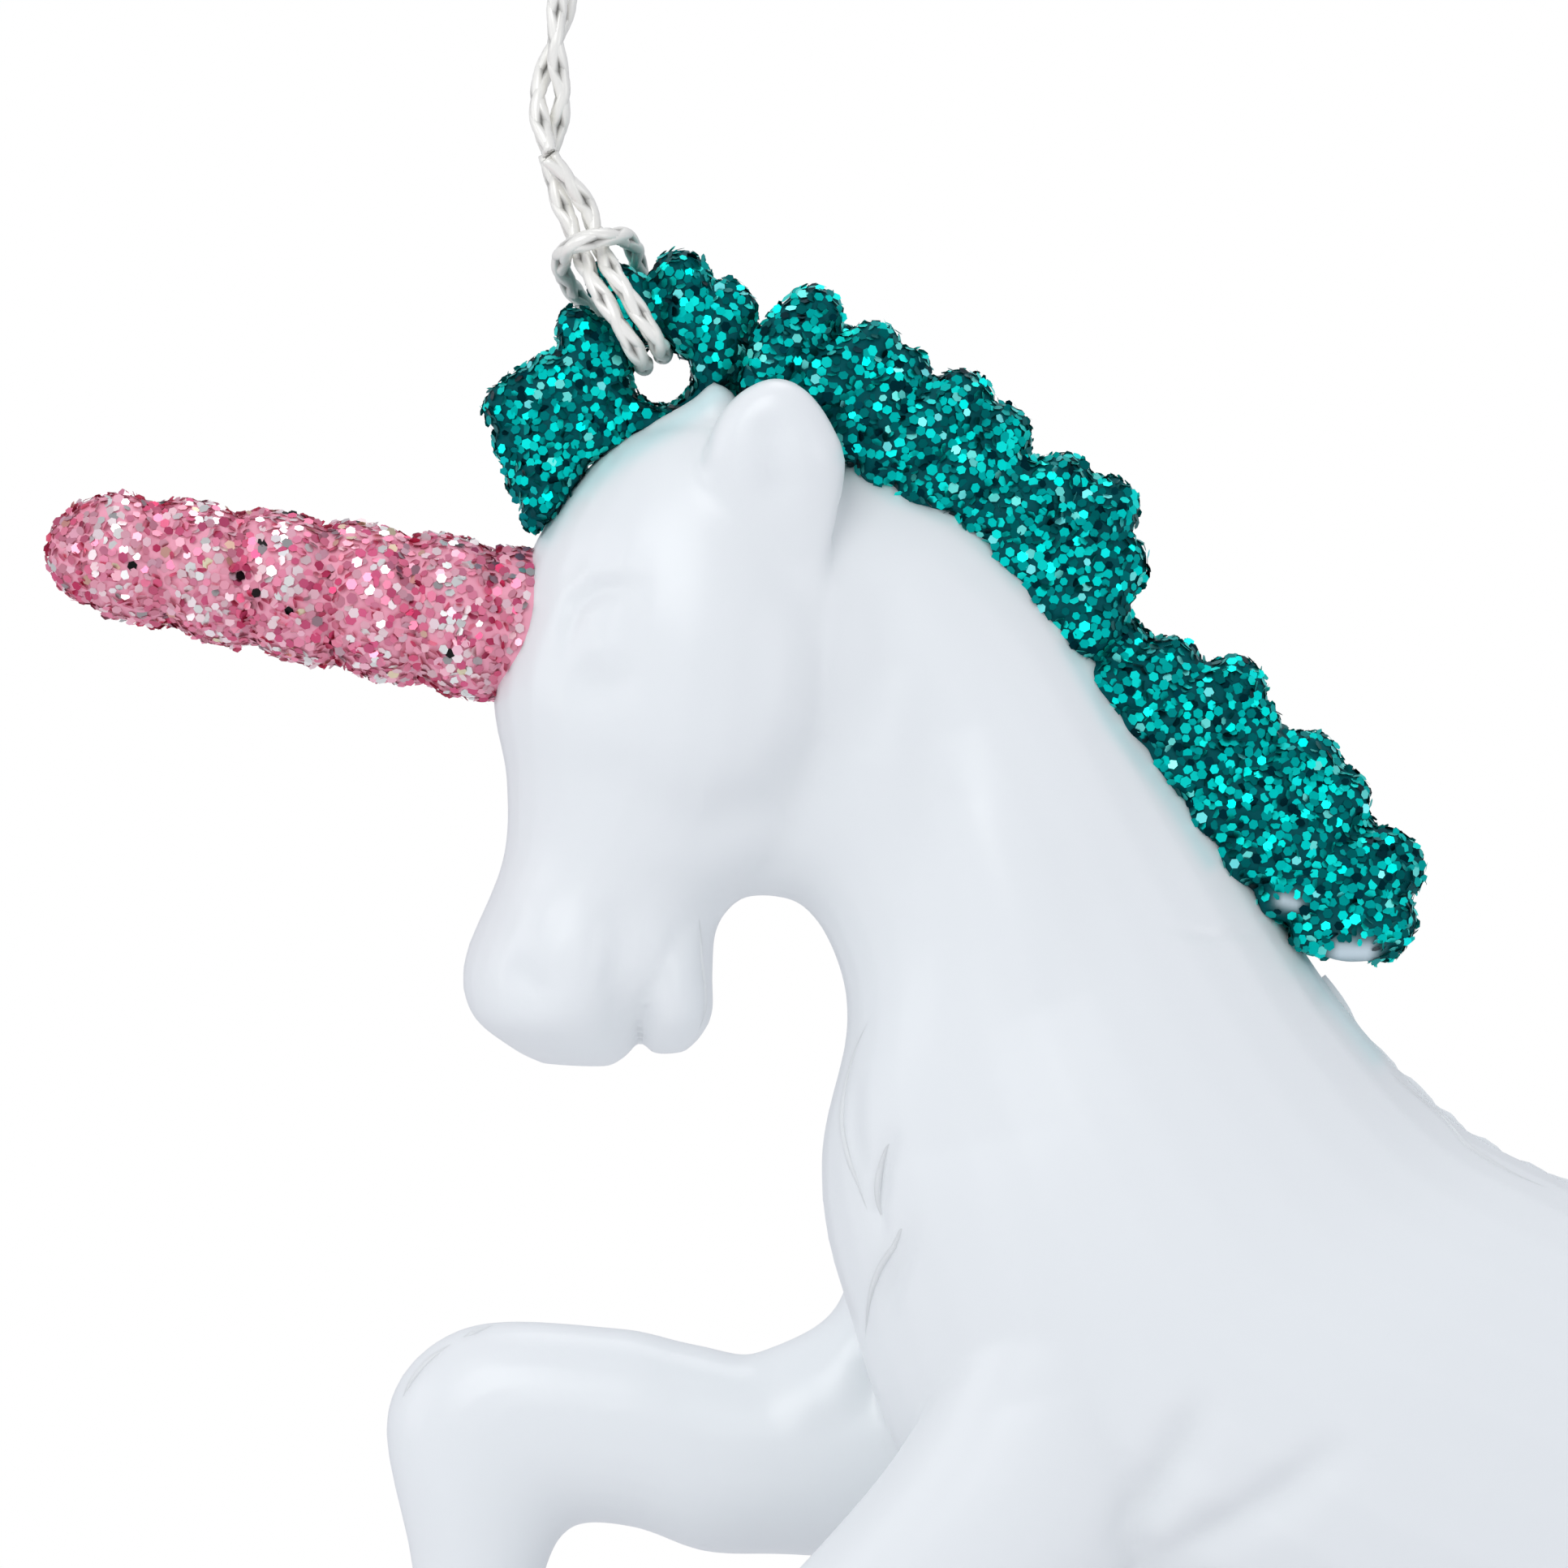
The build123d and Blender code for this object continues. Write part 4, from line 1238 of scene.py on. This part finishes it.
def flake_material(name):
    """Shiny foil in each flake's tint, which carries the painted shade of the horn's groove and
    the teal flakes' painted glints.
    """
    material = plain_material(
        name,
        FLAKE_GREY,
        FLAKE_ROUGHNESS,
        FLAKE_METALLIC,
        Specular_IOR_Level=0.1,
    )
    nodes = material.node_tree.nodes
    tint = nodes.new("ShaderNodeVertexColor")
    tint.layer_name = "tint"
    shader = nodes["Principled BSDF"]
    material.node_tree.links.new(tint.outputs["Color"], shader.inputs["Base Color"])
    return material


def cord_material(name):
    """Silvery ivory thread."""
    return plain_material(name, IVORY, CORD_ROUGHNESS, CORD_METALLIC)


def dress(obj, material, body_name, *nodes, slot=None):
    """Gives a piece its material, the body it rides on and the nodes it replaces; its slot is not
    used.
    """
    obj.data.materials.clear()
    obj.data.materials.append(material)
    if body_name:
        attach(obj, body_name)
    if nodes:
        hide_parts(*nodes)


def floor():
    """A round pale floor under the figurine."""
    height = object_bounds()[0].z - FLOOR_DROP
    ring = []
    for angle in turns(FLOOR_POINTS):
        x = FLOOR_CENTRE_X + FLOOR_RADIUS * math.cos(angle)
        ring.append((x, FLOOR_RADIUS * math.sin(angle), height))
    obj = new_object("floor", ring, [tuple(range(FLOOR_POINTS))])
    obj.data.materials.append(plain_material("pale_floor", FLOOR_COLOUR, FLOOR_ROUGHNESS))
    obj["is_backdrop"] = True


def glow(nodes, colour, strength):
    """An even light from all round."""
    node = nodes.new("ShaderNodeBackground")
    node.inputs["Color"].default_value = (*colour, 1)
    node.inputs["Strength"].default_value = strength
    return node.outputs["Background"]


def world():
    """A white backdrop that lights and is mirrored more softly than it is seen."""
    sky = bpy.data.worlds.new("studio")
    bpy.context.scene.world = sky
    sky.use_nodes = True
    nodes = sky.node_tree.nodes
    links = sky.node_tree.links
    nodes.clear()
    path = nodes.new("ShaderNodeLightPath")
    shine = nodes.new("ShaderNodeMixShader")
    mix = nodes.new("ShaderNodeMixShader")
    output = nodes.new("ShaderNodeOutputWorld")
    links.new(path.outputs["Is Glossy Ray"], shine.inputs["Fac"])
    links.new(glow(nodes, AMBIENT, AMBIENT_STRENGTH), shine.inputs[1])
    links.new(glow(nodes, MIRRORED, MIRRORED_STRENGTH), shine.inputs[2])
    links.new(path.outputs["Is Camera Ray"], mix.inputs["Fac"])
    links.new(shine.outputs["Shader"], mix.inputs[1])
    links.new(glow(nodes, BACKDROP, BACKDROP_STRENGTH), mix.inputs[2])
    links.new(mix.outputs["Shader"], output.inputs["Surface"])


def softbox(name, direction, distance, size, power, colour):
    """A square light that faces the figurine."""
    light = bpy.data.lights.new(name, "AREA")
    light.shape = "SQUARE"
    light.size = size
    light.energy = power
    light.color = colour
    obj = add_object(name, light)
    target = place(LIT_PIXEL)
    obj.location = target + Vector(direction).normalized() * distance
    obj.rotation_euler = (target - obj.location).to_track_quat("-Z", "Y").to_euler()


def camera():
    """The photograph's view."""
    data = bpy.data.cameras.new("camera")
    data.lens = CAMERA_LENS
    data.sensor_width = CAMERA_SENSOR
    data.clip_start, data.clip_end = CAMERA_CLIP
    obj = add_object("camera", data)
    middle = place((PICTURE_PIXELS / 2, PICTURE_PIXELS / 2))
    distance = PICTURE_PIXELS * PIXEL * CAMERA_LENS / CAMERA_SENSOR
    obj.location = middle + Vector((0, -distance, 0))
    obj.rotation_euler = (math.radians(90), 0, 0)
    bpy.context.scene.camera = obj


rng = np.random.default_rng(SEED)

plastic = milky_plastic()
skin = body()
dress(skin, plastic, "figurine", "body_near_half", "body_far_half", slot="body")

teal_base = teal_varnish("teal_varnish")
teal_worn = painted(teal_varnish("teal_varnish_worn"), TEAL_VARNISH, BARE)
teal_flake = flake_material("teal_glitter")
pink_base = plain_material("pink_varnish", PINK_VARNISH, PINK_ROUGHNESS)
pink_flake = flake_material("pink_glitter")

mane = hair("mane_locks", [MANE_ROWS], MANE_THICKNESS, MANE_LOCKS)
paint(mane, BARE_SPOTS)
dress(mane, teal_worn, "figurine", "mane_crest", slot="hair")
forelock = hair(
    "forelock_locks",
    [FORELOCK_ROWS, FORELOCK_BACK_ROWS],
    FORELOCK_THICKNESS,
    FORELOCK_LOCKS,
    [eyelet_rim()],
)
dress(forelock, teal_base, "figurine", "forelock", slot="hair")
tail = hair("tail_locks", [TAIL_ROWS], TAIL_THICKNESS, TAIL_LOCKS)
dress(tail, teal_base, "figurine", "tail", slot="hair")
horn_core = horn()
dress(horn_core, pink_base, "figurine", "horn", slot="horn")

bpy.context.view_layer.update()
skin_tree = BVHTree.FromObject(skin, bpy.context.evaluated_depsgraph_get())
dress(back_flash(), plastic, "figurine", slot="body")
dress(seams(skin_tree), plastic, "figurine", slot="body")

clear = clear_of(skin_tree)
for source, name in ((mane, "mane_flakes"), (forelock, "forelock_flakes"), (tail, "tail_flakes")):
    glitter = flakes(name, source, TEALS, rng, clear)
    dress(glitter, teal_flake, "figurine", slot="hair")
glitter = flakes("horn_flakes", horn_core, PINKS, rng, clear, horn_groove_painted_shade)
dress(glitter, pink_flake, "figurine", slot="horn")

# The cord's material, with painted shade between its plies
silver = painted(cord_material("silver_cord"), IVORY, PLY_GROOVE_PAINTED_SHADE)
hitch_line = nurbs_line("hitch_line", route(HITCH_ROUTE, HITCH_DEPTH))
hitch = braid("hitch_braid", hitch_line)
dress(hitch, silver, "figurine", "cord_hitch", slot="cord")
for name, rows, hitch_end in (
    ("neck_left", NECK_LEFT_ROUTE, hitch_line[0]),
    ("neck_right", NECK_RIGHT_ROUTE, hitch_line[-1]),
):
    line = [hitch_end] + nurbs_line(name, route(rows, CORD_DIAMETER))
    strand = braid(name + "_braid", line, tail=CORD_RUN_ON)
    dress(strand, silver, None, "cord_neck", slot="cord")
    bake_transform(strand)
knot_piece = end_knot()
dress(knot_piece, cord_material("silver_knot"), "cord_loop", "cord_end_knot", slot="cord")
for name, rows, length in (
    ("left", LEFT_STRAND_ROUTE, LEFT_STRAND_LENGTH),
    ("right", RIGHT_STRAND_ROUTE, RIGHT_STRAND_LENGTH),
):
    line = nurbs_line(name + "_line", route(rows, CORD_DIAMETER))
    strand = braid(name + "_strand_braid", line, lead=CORD_RUN_ON)
    dress(strand, silver, "cord_loop", "cord_" + name + "_strand", slot="cord")

floor()
world()
for lamp in SOFTBOXES:
    softbox(*lamp)
camera()
bpy.context.scene.view_settings.view_transform = "Standard"
